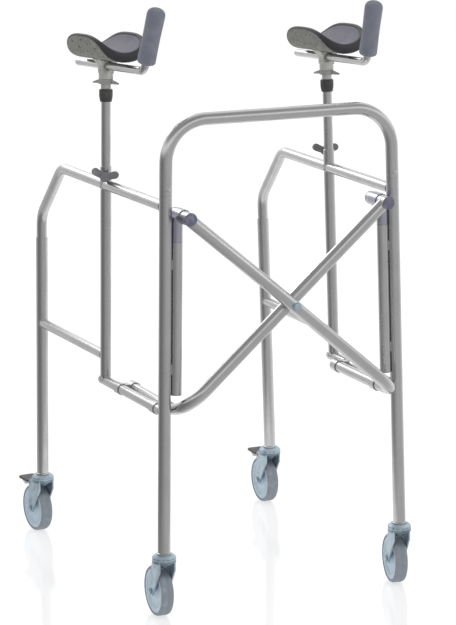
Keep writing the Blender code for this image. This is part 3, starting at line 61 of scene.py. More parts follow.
Colour = tuple[float, float, float]
WHITE = (1.0, 1.0, 1.0, 1.0)
UP = Vector((0.0, 0.0, 1.0))
BACK = Vector((0.0, 1.0, 0.0))
RUNNING_GAP = 0.0003
WELD_SINK = 0.0008
WELD_DROP = 0.0011
PIN_RADIUS = 0.0055
FLANGE_RADIUS = 0.0140


class Side(Enum):
    """The two side frames, by the sign of their X."""

    RIGHT = -1
    LEFT = 1

    @property
    def word(self) -> str:
        """The word that node and body names begin with."""
        return self.name.lower()


class Place(Enum):
    """The two casters of a side frame."""

    FRONT = "front"
    REAR = "rear"


class Slot(Enum):
    """The record's material slots."""

    STEEL = "chromed_steel"
    ZINC = "zinc_plate"
    SLATE = "slate_plastic"
    BLACK = "black_plastic"
    CAST = "cast_aluminium"
    RUBBER = "grey_rubber"
    FOAM = "grip_foam"
    PAD = "padding"


def joint_point(name: str) -> Vector:
    """The point that a hinge turns about."""
    return Vector(JOINTS[name]["pos_m"])


def joint_axis(name: str) -> Vector:
    """The direction of a joint's axis."""
    return Vector(JOINTS[name]["axis"]).normalized()


@dataclass(frozen=True)
class TubeStock:
    """Outer diameters and wall of the steel tube, and the roundness it is drawn with."""

    post: float = 0.025
    rail: float = 0.022
    lower_rail: float = 0.020
    mid_rail: float = 0.020
    cross_leg: float = 0.022
    inner: float = 0.019
    rod: float = 0.018
    bar: float = 0.016
    wall: float = 0.0012
    sides: int = 36
    bend_steps: int = 14


@dataclass(frozen=True)
class Layout:
    """Places of the frame's tube axes, as the CAD has them."""

    post_spacing: float = 0.4975
    frame_depth: float = 0.672
    support_setback: float = 0.3055
    lean: float = math.radians(1.3)
    spread: float = math.radians(1.1)
    lower_rail_height: float = 0.4135
    lower_rail_overhang: float = 0.017
    mid_rail_height: float = 0.4645
    side_tube_height: float = 0.8135
    slant_run: float = 0.122
    slant_drop: float = 0.116
    side_tube_bend: float = 0.055
    rear_post_top: float = 0.648
    front_post_top: float = 0.836
    post_foot: float = 0.1343
    hoop_height: float = 0.977
    hoop_bend: float = 0.082
    seat_gap: float = 0.0003

    @property
    def front_y(self) -> float:
        """Y of the front posts."""
        return joint_point("cross_fold").y

    @property
    def rear_y(self) -> float:
        """Y of the rear posts, as drawn square."""
        return self.front_y + self.frame_depth

    @property
    def support_y(self) -> float:
        """Y of the arm supports, as drawn square."""
        return self.front_y + self.support_setback

    def side_x(self, side: Side, inboard: float = 0.0) -> float:
        """X of a point that lies inboard of a side frame's tube plane."""
        return side.value * (self.post_spacing / 2 - inboard)

    def matrix(self, side: Side) -> Matrix:
        """Leans and spreads a side frame that is drawn upright and square.

        Args:
            side: The side frame.

        Returns:
            The matrix from the square drawing to the walker.
        """
        hub = Matrix.Translation((self.side_x(side), self.front_y, self.lower_rail_height))
        spread = Matrix.Rotation(-side.value * self.spread, 4, "Z")
        lean = Matrix.Rotation(-side.value * self.lean, 4, "Y")
        return hub @ spread @ lean @ hub.inverted()

    def at(self, side: Side, y: float, z: float, inboard: float = 0.0) -> Vector:
        """A point of a side frame, given as drawn square."""
        return self.matrix(side) @ Vector((self.side_x(side, inboard), y, z))


STOCK = TubeStock()
LAYOUT = Layout()


class Number:
    """A number on a shader socket, so that shader maths is written as Python expressions."""

    def __init__(self, tree: bpy.types.NodeTree, socket: bpy.types.NodeSocket) -> None:
        """Wrap a socket of a node tree."""
        self.tree = tree
        self.socket = socket

    def _math(self, operation: str, other: Union["Number", float, None] = None,
              swapped: bool = False) -> "Number":
        """Add a Math node.

        Args:
            operation: The Math node's operation.
            other: The second operand, where there is one.
            swapped: Puts the other operand first.

        Returns:
            The node's result.
        """
        node = self.tree.nodes.new("ShaderNodeMath")
        node.operation = operation
        operands = [self, other] if not swapped else [other, self]
        for slot, operand in zip(node.inputs, operands):
            if isinstance(operand, Number):
                self.tree.links.new(operand.socket, slot)
            elif operand is not None:
                slot.default_value = operand
        return Number(self.tree, node.outputs[0])

    def __add__(self, other: Union["Number", float]) -> "Number":
        """Sum."""
        return self._math("ADD", other)

    __radd__ = __add__

    def __sub__(self, other: Union["Number", float]) -> "Number":
        """Difference."""
        return self._math("SUBTRACT", other)

    def __rsub__(self, other: float) -> "Number":
        """Difference from a plain number."""
        return self._math("SUBTRACT", other, swapped=True)

    def __mul__(self, other: Union["Number", float]) -> "Number":
        """Product."""
        return self._math("MULTIPLY", other)

    __rmul__ = __mul__

    def clamped(self) -> "Number":
        """The number kept between 0 and 1.

        Returns:
            The clamped number.
        """
        result = self._math("ADD", 0.0)
        result.socket.node.use_clamp = True
        return result

    def step(self, low: float, high: float) -> "Number":
        """Make a smooth step of the number.

        Args:
            low: Where the step starts.
            high: Where it ends.

        Returns:
            The step's result, from 0 to 1.
        """
        node = self.tree.nodes.new("ShaderNodeMapRange")
        node.interpolation_type = "SMOOTHSTEP"
        node.inputs["From Min"].default_value = low
        node.inputs["From Max"].default_value = high
        self.tree.links.new(self.socket, node.inputs["Value"])
        return Number(self.tree, node.outputs["Result"])


class Tree:
    """A node tree under construction."""

    def __init__(self, tree: bpy.types.NodeTree, prefix: str = "ShaderNode") -> None:
        """Keep a tree, and the word that its nodes' types begin with."""
        self.tree = tree
        self.prefix = prefix

    def node(self, kind: str, inputs: Optional[dict] = None, **settings: object) -> bpy.types.Node:
        """Add a node.

        Args:
            kind: The node's type, without the tree's prefix.
            inputs: Values or links for its sockets.
            settings: Its own settings, which are set first.

        Returns:
            The node.
        """
        node = self.tree.nodes.new(self.prefix + kind)
        for key, value in settings.items():
            setattr(node, key, value)
        for key, value in (inputs or {}).items():
            self.feed(node.inputs[key], value)
        return node

    def feed(self, socket: bpy.types.NodeSocket, value: object) -> None:
        """Give an input its value or its link.

        Args:
            socket: The input to set.
            value: A plain value, another socket or a number.
        """
        if isinstance(value, Number):
            value = value.socket
        if isinstance(value, bpy.types.NodeSocket):
            self.tree.links.new(value, socket)
        else:
            socket.default_value = value

    def number(self, socket: bpy.types.NodeSocket) -> Number:
        """A socket of this tree as a number."""
        return Number(self.tree, socket)

    def rays(self, *kinds: str) -> Number:
        """1 for rays of the given kinds and 0 for others."""
        path = self.node("LightPath").outputs
        return sum(self.number(path[f"Is {kind} Ray"]) for kind in kinds).clamped()


class Surface(Tree):
    """A material under construction: its tree, its Principled shader and its pattern coordinates."""

    def __init__(self, name: str) -> None:
        """Start a material with one Principled shader.

        Args:
            name: The material's name.
        """
        self.material = bpy.data.materials.new(name)
        self.material.use_nodes = True
        super().__init__(self.material.node_tree)
        self.shader = self.tree.nodes["Principled BSDF"]
        self.place = self.node("TexCoord").outputs["Object"]

    def set(self, **values: object) -> None:
        """Set the Principled shader's sockets, spaces in their names written as underscores."""
        for key, value in values.items():
            self.feed(self.shader.inputs[key.replace("_", " ")], value)

    def scaled(self, factors: Sequence[float]) -> bpy.types.NodeSocket:
        """The pattern coordinates, stretched along the axes."""
        return self.node("Mapping", {"Vector": self.place, "Scale": factors}).outputs[0]

    def noise(self, scale: float, detail: float = 3.0, roughness: float = 0.55,
              stretch: Optional[Sequence[float]] = None) -> Number:
        """Add a noise.

        Args:
            scale: Waves per metre.
            detail: How many finer layers lie over the first.
            roughness: How strong the finer layers are.
            stretch: Factors along the axes, or None.

        Returns:
            The noise, from 0 to 1.
        """
        place = self.scaled(stretch) if stretch else self.place
        inputs = {"Vector": place, "Scale": scale, "Detail": detail, "Roughness": roughness}
        return self.number(self.node("TexNoise", inputs).outputs["Fac"])

    def cells(self, scale: float) -> Number:
        """A distance-to-cell pattern, its scale in cells per metre."""
        node = self.node("TexVoronoi", {"Vector": self.place, "Scale": scale})
        return self.number(node.outputs["Distance"])

    def blend(self, factor: Number, low: Sequence[float], high: Sequence[float]) -> bpy.types.NodeSocket:
        """A colour between two, by a factor."""
        return self.mixed(factor, (*low, 1.0), (*high, 1.0))

    def painted(self, name: str) -> Number:
        """A value painted on the mesh's points."""
        return self.number(self.node("Attribute", attribute_name=name).outputs["Fac"])

    def mixed(self, factor: Number, low: object, high: object) -> bpy.types.NodeSocket:
        """A colour between two colours or colour sockets, by a factor."""
        return self.node("Mix", {0: factor, 6: low, 7: high}, data_type="RGBA").outputs[2]

    def bump(self, height: Number, depth: float) -> None:
        """Raise the surface by a height pattern, its depth in metres."""
        node = self.node("Bump", {"Strength": 1.0, "Distance": depth, "Height": height})
        self.set(Normal=node.outputs[0])

    def glow(self, colour: object, strength: float = 1.0) -> bpy.types.NodeSocket:
        """A shader that shines by itself."""
        return self.node("Emission", {"Color": colour, "Strength": strength}).outputs[0]

    def layered(self, factor: object, low: bpy.types.NodeSocket,
                high: bpy.types.NodeSocket) -> bpy.types.NodeSocket:
        """A shader between two shaders, by a factor."""
        return self.node("MixShader", {0: factor, 1: low, 2: high}).outputs[0]

    def show(self, shader: bpy.types.NodeSocket) -> bpy.types.Material:
        """The material, with a shader in place of its Principled one."""
        self.feed(self.tree.nodes["Material Output"].inputs["Surface"], shader)
        return self.material


@dataclass(frozen=True)
class Finish:
    """A material that stands for one of the record's slots."""

    name: str
    slot: Slot

    def build(self) -> bpy.types.Material:
        """Make the material.

        Returns:
            The material, with its patterns.
        """
        surface = Surface(self.name)
        self.paint(surface)
        return surface.material

    def paint(self, surface: Surface) -> None:
        """Set the Principled shader's patterns. Each finish has its own."""
        raise NotImplementedError


@dataclass(frozen=True)
class Chrome(Finish):
    """Bright chromed tube with handling marks: fine dulled patches and a trace of dust."""

    colour: Colour = (0.60, 0.60, 0.605)
    shade: Colour = (0.50, 0.50, 0.51)
    roughness: float = 0.17

    def paint(self, surface: Surface) -> None:
        """Set the Principled shader's patterns.

        Args:
            surface: The material under construction.
        """
        smudge = surface.noise(22.0, 4.0).step(0.42, 0.72)
        streak = surface.noise(160.0, 2.0, stretch=(1.0, 1.0, 0.05))
        dust = surface.noise(900.0, 1.0).step(0.60, 0.80)
        tint = (smudge * 0.45 + streak * 0.35 + dust * 0.2).clamped()
        surface.set(
            Base_Color=surface.blend(tint, self.colour, self.shade),
            Metallic=1.0,
            Roughness=self.roughness + 0.10 * smudge + 0.05 * streak,
        )
        surface.bump(surface.noise(240.0, 2.0, stretch=(1.0, 1.0, 0.2)), 0.000008)


@dataclass(frozen=True)
class ZincPlate(Finish):
    """Blue-grey zinc on pressed steel, mottled, with darker grime in patches."""

    colour: Colour = (0.47, 0.57, 0.64)
    shade: Colour = (0.27, 0.35, 0.42)
    roughness: float = 0.36

    def paint(self, surface: Surface) -> None:
        """Set the Principled shader's patterns.

        Args:
            surface: The material under construction.
        """
        spangle = surface.cells(210.0)
        grime = surface.noise(55.0, 4.0).step(0.45, 0.75)
        tint = (grime * 0.6 + spangle * 0.35).clamped()
        surface.set(
            Base_Color=surface.blend(tint, self.colour, self.shade),
            Metallic=0.75,
            Roughness=self.roughness + 0.16 * grime + 0.05 * spangle,
        )
        surface.bump(surface.noise(420.0, 3.0), 0.00008)


@dataclass(frozen=True)
class MouldedPlastic(Finish):
    """Moulded plastic with a fine spark-eroded grain and rubbed, slightly paler patches."""

    colour: Colour = (0.15, 0.15, 0.16)
    rubbed: Colour = (0.24, 0.24, 0.25)
    roughness: float = 0.42
    grain: float = 0.00006

    def paint(self, surface: Surface) -> None:
        """Set the Principled shader's patterns.

        Args:
            surface: The material under construction.
        """
        rub = surface.noise(70.0, 4.0).step(0.48, 0.78)
        grain = surface.noise(2600.0, 2.0)
        surface.set(
            Base_Color=surface.blend(rub, self.colour, self.rubbed),
            Roughness=self.roughness + 0.14 * rub + 0.06 * grain,
        )
        surface.bump(grain, self.grain)


@dataclass(frozen=True)
class CastMetal(Finish):
    """Tumbled cast aluminium: pale warm grey, pitted, duller in its hollows."""

    colour: Colour = (0.50, 0.50, 0.47)
    shade: Colour = (0.33, 0.33, 0.31)

    def paint(self, surface: Surface) -> None:
        """Set the Principled shader's patterns.

        Args:
            surface: The material under construction.
        """
        skin = surface.noise(700.0, 4.0)
        stain = surface.noise(60.0, 3.0).step(0.45, 0.70)
        surface.set(
            Base_Color=surface.blend((stain * 0.7 + skin * 0.3).clamped(), self.colour, self.shade),
            Metallic=0.55,
            Roughness=0.40 + 0.18 * skin,
        )
        surface.bump(skin, 0.00018)


@dataclass(frozen=True)
class SoftFoam(Finish):
    """Closed-cell foam with a pebbled skin, greyer where it is rubbed."""

    colour: Colour = (0.115, 0.122, 0.165)
    rubbed: Colour = (0.165, 0.17, 0.21)
    pores: float = 900.0
    depth: float = 0.0003

    def paint(self, surface: Surface) -> None:
        """Set the Principled shader's patterns.

        Args:
            surface: The material under construction.
        """
        pores = surface.cells(self.pores)
        rub = surface.noise(38.0, 4.0).step(0.40, 0.72)
        speckle = surface.noise(self.pores * 1.6, 2.0)
        tint = (rub * 0.65 + speckle * 0.35).clamped()
        surface.set(
            Base_Color=surface.blend(tint, self.colour, self.rubbed),
            Roughness=0.66 + 0.18 * pores,
            Sheen_Weight=0.15,
            Sheen_Roughness=0.6,
        )
        surface.bump(pores * 0.6 + speckle * 0.4, self.depth)


@dataclass(frozen=True)
class BoundPad(Finish):
    """The trough's covers: a smooth grey pad, a black bound edge and a mottled, grained shell outside."""

    pad: Colour = (0.155, 0.152, 0.195)
    rubbed: Colour = (0.20, 0.195, 0.24)
    shell: Colour = (0.19, 0.188, 0.172)
    speck: Colour = (0.035, 0.035, 0.035)
    binding: Colour = (0.022, 0.022, 0.027)

    def paint(self, surface: Surface) -> None:
        """Set the Principled shader's patterns.

        Args:
            surface: The material under construction.
        """
        edge = surface.painted("edge")
        outside = surface.painted("outside").step(0.35, 0.65)
        rub = surface.noise(30.0, 4.0).step(0.38, 0.70)
        grain = surface.noise(1500.0, 2.0)
        speckle = surface.noise(210.0, 3.0).step(0.53, 0.64)
        pad = surface.blend((rub * 0.7 + grain * 0.3).clamped(), self.pad, self.rubbed)
        shell = surface.blend(speckle, self.shell, self.speck)
        cover = surface.mixed(outside, pad, shell)
        surface.set(
            Base_Color=surface.mixed(edge, cover, (*self.binding, 1.0)),
            Roughness=0.58 + 0.14 * grain - 0.12 * edge,
        )
        surface.bump((grain * 0.35 + speckle * outside * 0.65).clamped(), 0.0003)


class Look(Enum):
    """Every finish of the walker."""

    STEEL = Chrome("chromed tube", Slot.STEEL)
    SADDLE = Chrome("lavender chrome", Slot.ZINC, (0.50, 0.50, 0.58), (0.36, 0.36, 0.45), 0.20)
    ZINC = ZincPlate("zinc plate", Slot.ZINC)
    HEAD = ZincPlate("dark zinc plate", Slot.ZINC, (0.25, 0.33, 0.38), (0.11, 0.15, 0.19), 0.28)
    SLATE = MouldedPlastic("slate plastic", Slot.SLATE, (0.10, 0.10, 0.155), (0.19, 0.19, 0.26))
    BLACK = MouldedPlastic("black plastic", Slot.BLACK, (0.035, 0.035, 0.038), (0.075, 0.075, 0.08))
    WING = MouldedPlastic("pale grey knob plastic", Slot.BLACK, (0.25, 0.25, 0.25), (0.34, 0.34, 0.34))
    WEDGE = MouldedPlastic("light grey pedal plastic", Slot.BLACK, (0.46, 0.47, 0.48), (0.56, 0.57, 0.58))
    KNOB = MouldedPlastic("grey knob plastic", Slot.BLACK)
    TYRE = MouldedPlastic("grey tyre rubber", Slot.RUBBER, (0.205, 0.235, 0.27), (0.29, 0.32, 0.36), 0.5,
                          0.0001)
    DISC = MouldedPlastic("pale wheel disc", Slot.RUBBER, (0.42, 0.53, 0.62), (0.54, 0.64, 0.71), 0.30)
    CAST = CastMetal("cast aluminium", Slot.CAST)
    FOAM = SoftFoam("grip foam", Slot.FOAM)
    PAD = BoundPad("trough pad", Slot.PAD)


def rounded_path(corners: Sequence[Point], radii: Sequence[float], steps: int) -> list[Vector]:
    """Round a path's inner corners to arcs.

    Args:
        corners: The path's corners.
        radii: The bend radius at each inner corner.
        steps: The stretches in each bend.

    Returns:
        The path's points.
    """
    points = [Vector(corners[0])]
    for before, corner, after, radius in zip(corners, corners[1:], corners[2:], radii):
        middle = Vector(corner)
        back = (Vector(before) - middle).normalized()
        ahead = (Vector(after) - middle).normalized()
        half = back.angle(ahead) / 2
        centre = middle + (back + ahead).normalized() * (radius / math.sin(half))
        start = middle + back * (radius / math.tan(half)) - centre
        turn = ahead.cross(back).normalized()
        sweep = math.pi - 2 * half
        for step in range(steps + 1):
            points.append(centre + Matrix.Rotation(sweep * step / steps, 3, turn) @ start)
    points.append(Vector(corners[-1]))
    return points


class Recipe(Tree):
    """A Geometry Nodes tree that makes a mesh from a curve, its inputs set by name."""

    def __init__(self, name: str, **inputs: str) -> None:
        """Start a tree.

        Args:
            name: The tree's name.
            inputs: The socket type of each input, beside the finish's.
        """
        super().__init__(bpy.data.node_groups.new(name, "GeometryNodeTree"), "")
        face = self.tree.interface
        face.new_socket("Geometry", in_out="INPUT", socket_type="NodeSocketGeometry")
        self.inputs = {key: face.new_socket(key, in_out="INPUT", socket_type=f"NodeSocket{kind}").identifier
                       for key, kind in {**inputs, "finish": "Material"}.items()}
        face.new_socket("Geometry", in_out="OUTPUT", socket_type="NodeSocketGeometry")
        self.given = self.node("NodeGroupInput").outputs

    def close(self, geometry: bpy.types.NodeSocket) -> "Recipe":
        """Make the geometry real, give it its finish and put it out.

        Args:
            geometry: The socket of the finished geometry.

        Returns:
            The recipe itself.
        """
        real = self.node("GeometryNodeRealizeInstances", {0: geometry}).outputs[0]
        dressed = self.node("GeometryNodeSetMaterial", {"Geometry": real, "Material": self.given["finish"]})
        self.node("NodeGroupOutput", {0: dressed.outputs[0]})
        return self

    def fit(self, route: bpy.types.Object, **values: object) -> None:
        """Put the tree on a curve.

        Args:
            route: The curve object.
            values: The value of each input.
        """
        modifier = route.modifiers.new("recipe", "NODES")
        modifier.node_group = self.tree
        for key, value in values.items():
            modifier[self.inputs[key]] = value


def swept_tube() -> Recipe:
    """The recipe of a round section swept along a curve, its radius taken from the curve's points.

    Returns:
        The recipe, with its inputs sides and caps.
    """
    recipe = Recipe("swept tube", sides="Int", caps="Bool")
    section = recipe.node("GeometryNodeCurvePrimitiveCircle", {
        "Radius": 1.0, "Resolution": recipe.given["sides"]})
    radius = recipe.node("GeometryNodeInputRadius")
    sweep = recipe.node("GeometryNodeCurveToMesh", {
        "Curve": recipe.given["Geometry"], "Profile Curve": section.outputs["Curve"],
        "Scale": radius.outputs[0], "Fill Caps": recipe.given["caps"]})
    return recipe.close(sweep.outputs["Mesh"])


def weld_bead() -> Recipe:
    """The recipe of a row of small overlapping drops along a closed curve, as a weld has them.

    Returns:
        The recipe, with its inputs spacing and drop.
    """
    recipe = Recipe("weld bead", spacing="Float", drop="Float")
    points = recipe.node("GeometryNodeCurveToPoints", {
        "Curve": recipe.given["Geometry"], "Length": recipe.given["spacing"]}, mode="LENGTH")
    drop = recipe.node("GeometryNodeMeshIcoSphere", {"Subdivisions": 2, "Radius": recipe.given["drop"]})
    size = recipe.node("FunctionNodeRandomValue", {2: 0.8, 3: 1.15, "Seed": 7}, data_type="FLOAT")
    lay = recipe.node("GeometryNodeInstanceOnPoints", {
        "Points": points.outputs["Points"], "Instance": drop.outputs["Mesh"], "Scale": size.outputs[1]})
    return recipe.close(lay.outputs[0])


def placed(name: str, shape: bmesh.types.BMesh, material: bpy.types.Material) -> bpy.types.Object:
    """Put a mesh in the scene as an object.

    Args:
        name: The object's name.
        shape: Its mesh, in world coordinates, which is used up.
        material: Its one material.

    Returns:
        The object.
    """
    mesh = bpy.data.meshes.new(name)
    shape.to_mesh(mesh)
    shape.free()
    mesh.materials.clear()
    mesh.materials.append(material)
    thing = bpy.data.objects.new(name, mesh)
    bpy.context.scene.collection.objects.link(thing)
    return thing


class Workshop:
    """Makes meshes and turns them into pieces that ride on the frame."""

    def __init__(self) -> None:
        """Make the materials and the shared recipes."""
        self.materials = {look: look.value.build() for look in Look}
        self.tube = swept_tube()
        self.beads = weld_bead()

    @staticmethod
    def _curve(points: Sequence[Point], radii: Sequence[float], closed: bool) -> bpy.types.Object:
        """Make a poly curve.

        Args:
            points: The curve's points.
            radii: The radius at each point.
            closed: Joins its ends.

        Returns:
            The curve as an object in the scene.
        """
        data = bpy.data.curves.new("route", "CURVE")
        data.dimensions = "3D"
        data.twist_mode = "MINIMUM"
        spline = data.splines.new("POLY")
        spline.points.add(len(points) - 1)
        for knot, point, radius in zip(spline.points, points, radii):
            knot.co = (*Vector(point), 1.0)
            knot.radius = radius
        spline.use_cyclic_u = closed
        route = bpy.data.objects.new("route", data)
        bpy.context.scene.collection.objects.link(route)
        return route

    @staticmethod
    def _baked(source: bpy.types.Object) -> bpy.types.Mesh:
        """Take the evaluated mesh of an object.

        Args:
            source: The object, which is removed.

        Returns:
            Its mesh with its modifiers applied.
        """
        graph = bpy.context.evaluated_depsgraph_get()
        mesh = bpy.data.meshes.new_from_object(source.evaluated_get(graph))
        bpy.data.objects.remove(source)
        return mesh

    def sweep(self, points: Sequence[Point], diameter: Union[float, Sequence[float]],
              wall: Optional[float] = None, sides: int = STOCK.sides) -> bmesh.types.BMesh:
        """A tube along a path.

        Args:
            points: The path.
            diameter: One outer diameter, or one for each point.
            wall: The tube's wall, or None for a bar with closed ends.
            sides: The sides of its section.

        Returns:
            The tube as a bmesh.
        """
        sizes = [diameter] * len(points) if isinstance(diameter, float) else diameter
        radii = [size / 2 for size in sizes]
        route = self._curve(points, radii, False)
        self.tube.fit(route, sides=sides, caps=wall is None, finish=self.materials[Look.STEEL])
        mesh = self._baked(route)
        if wall is not None:
            shell = bpy.data.objects.new("shell", mesh)
            bpy.context.scene.collection.objects.link(shell)
            thickness = shell.modifiers.new("wall", "SOLIDIFY")
            thickness.thickness = wall
            thickness.offset = -1.0
            mesh = self._baked(shell)
        return self._taken(mesh)

    @staticmethod
    def _taken(mesh: bpy.types.Mesh) -> bmesh.types.BMesh:
        """Turn a mesh into a bmesh.

        Args:
            mesh: The mesh, which is removed.

        Returns:
            The same shape as a bmesh.
        """
        result = bmesh.new()
        result.from_mesh(mesh)
        bpy.data.meshes.remove(mesh)
        return result

    def bead(self, loop: Sequence[Point]) -> bmesh.types.BMesh:
        """Lay a weld bead round a loop.

        Args:
            loop: The points that the bead runs through.

        Returns:
            The bead.
        """
        route = self._curve(loop, [1.0] * len(loop), True)
        self.beads.fit(route, spacing=WELD_DROP * 1.1, drop=WELD_DROP, finish=self.materials[Look.STEEL])
        return self._taken(self._baked(route))

    def weld(self, centre: Point, axis: Vector, branch: float, host_axis: Vector, host: float,
             steps: int = 36) -> bmesh.types.BMesh:
        """The weld bead in the curve in which a round branch meets a round host tube.

        Args:
            centre: Where the branch's axis meets the host's axis.
            axis: The branch's direction, away from the host.
            branch: The branch's radius.
            host_axis: The host's direction.
            host: The host's radius.
            steps: Points round the curve.

        Returns:
            The bead.
        """
        first = host_axis.normalized()
        second = axis.cross(first).normalized()
        points = []
        for step in range(steps):
            angle = 2 * math.pi * step / steps
            across = branch * math.sin(angle)
            out = math.sqrt(max(host * host - across * across, 0.0))
            points.append(Vector(centre) + first * branch * math.cos(angle) + second * across
                          + axis.normalized() * out)
        return self.bead(points)

    @staticmethod
    def lathe(profile: Sequence[tuple[float, float]], centre: Point, axis: Point,
              sides: int = STOCK.sides) -> bmesh.types.BMesh:
        """A turned solid.

        Args:
            profile: Points of (radius, distance along the axis), which close on themselves.
            centre: The point that distances are measured from.
            axis: The direction of the axis.
            sides: The sides of the turned shape.

        Returns:
            The solid as a bmesh.
        """
        along = Vector(axis).normalized()
        first = along.orthogonal().normalized()
        second = along.cross(first)
        result = bmesh.new()
        loops = []
        for radius, distance in profile:
            base = Vector(centre) + along * distance
            if radius < 1e-7:
                loops.append([result.verts.new(base)])
                continue
            angles = [2 * math.pi * (step + 0.5) / sides for step in range(sides)]
            spokes = [(first * math.cos(angle) + second * math.sin(angle)) * radius for angle in angles]
            loops.append([result.verts.new(base + spoke) for spoke in spokes])
        for loop, following in zip(loops, loops[1:] + loops[:1]):
            for step in range(sides):
                other = (step + 1) % sides
                corners = [loop[step % len(loop)], loop[other % len(loop)],
                           following[other % len(following)], following[step % len(following)]]
                corners = list(dict.fromkeys(corners))
                if len(corners) > 2:
                    result.faces.new(corners)
        bmesh.ops.recalc_face_normals(result, faces=result.faces)
        return result

    @staticmethod
    def slab(outline: Sequence[Point], push: Vector) -> bmesh.types.BMesh:
        """Push a flat outline into a plate.

        Args:
            outline: The corners of one face.
            push: The way from that face to the other.

        Returns:
            The plate as a bmesh.
        """
        result = bmesh.new()
        near = [result.verts.new(Vector(point)) for point in outline]
        far = [result.verts.new(Vector(point) + push) for point in outline]
        result.faces.new(near)
        result.faces.new(far)
        for step in range(len(outline)):
            other = (step + 1) % len(outline)
            result.faces.new((near[step], near[other], far[other], far[step]))
        bmesh.ops.recalc_face_normals(result, faces=result.faces)
        return result

    @staticmethod
    def copied(node: str) -> bmesh.types.BMesh:
        """Copy a CAD node's mesh.

        Args:
            node: The node's name.

        Returns:
            The mesh, with its triangles joined into whole flat faces.
        """
        result = bmesh.new()
        result.from_mesh(frame["nodes"][node].data)
        bmesh.ops.remove_doubles(result, verts=result.verts, dist=1e-6)
        bmesh.ops.dissolve_limit(result, angle_limit=math.radians(0.5), verts=result.verts,
                                 edges=result.edges)
        return result

    @staticmethod
    def together(*parts: bmesh.types.BMesh) -> bmesh.types.BMesh:
        """Join several meshes.

        Args:
            parts: The meshes, which are used up.

        Returns:
            One mesh of them all.
        """
        result = bmesh.new()
        for part in parts:
            mesh = bpy.data.meshes.new("part")
            part.to_mesh(mesh)
            part.free()
            result.from_mesh(mesh)
            bpy.data.meshes.remove(mesh)
        return result

    def dressed(self, node: str, word: str, look: Look, body: str, bevel: float) -> None:
        """Finish a CAD node's own mesh, its edges rounded, as a piece whose name ends with a word."""
        self.piece(f"{node}_{word}", self.copied(node), look, body, [node], bevel)

    def piece(self, name: str, shape: bmesh.types.BMesh, look: Look, body: str,
              nodes: Sequence[str] = (), bevel: float = 0.0, crease: float = 40.0) -> bpy.types.Object:
        """Make a finished piece.

        Args:
            name: The piece's name.
            shape: Its mesh, in world coordinates, which is used up.
            look: Its finish.
            body: The CAD body that it rides on.
            nodes: The CAD nodes that it replaces.
            bevel: The width of its rounded edges, or 0.
            crease: The angle in degrees over which an edge stays sharp.

        Returns:
            The piece.
        """
        thing = placed(name, shape, self.materials[look])
        thing.data.shade_smooth()
        thing.data.set_sharp_from_angle(angle=math.radians(crease))
        if bevel:
            rounding = thing.modifiers.new("edges", "BEVEL")
            rounding.width = bevel
            rounding.segments = 3
            rounding.limit_method = "ANGLE"
            rounding.angle_limit = math.radians(crease)
            rounding.harden_normals = False
        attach(thing, body)
        if nodes:
            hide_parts(*nodes)
        log.info("%s: %d faces on %s", name, len(thing.data.polygons), body)
        return thing


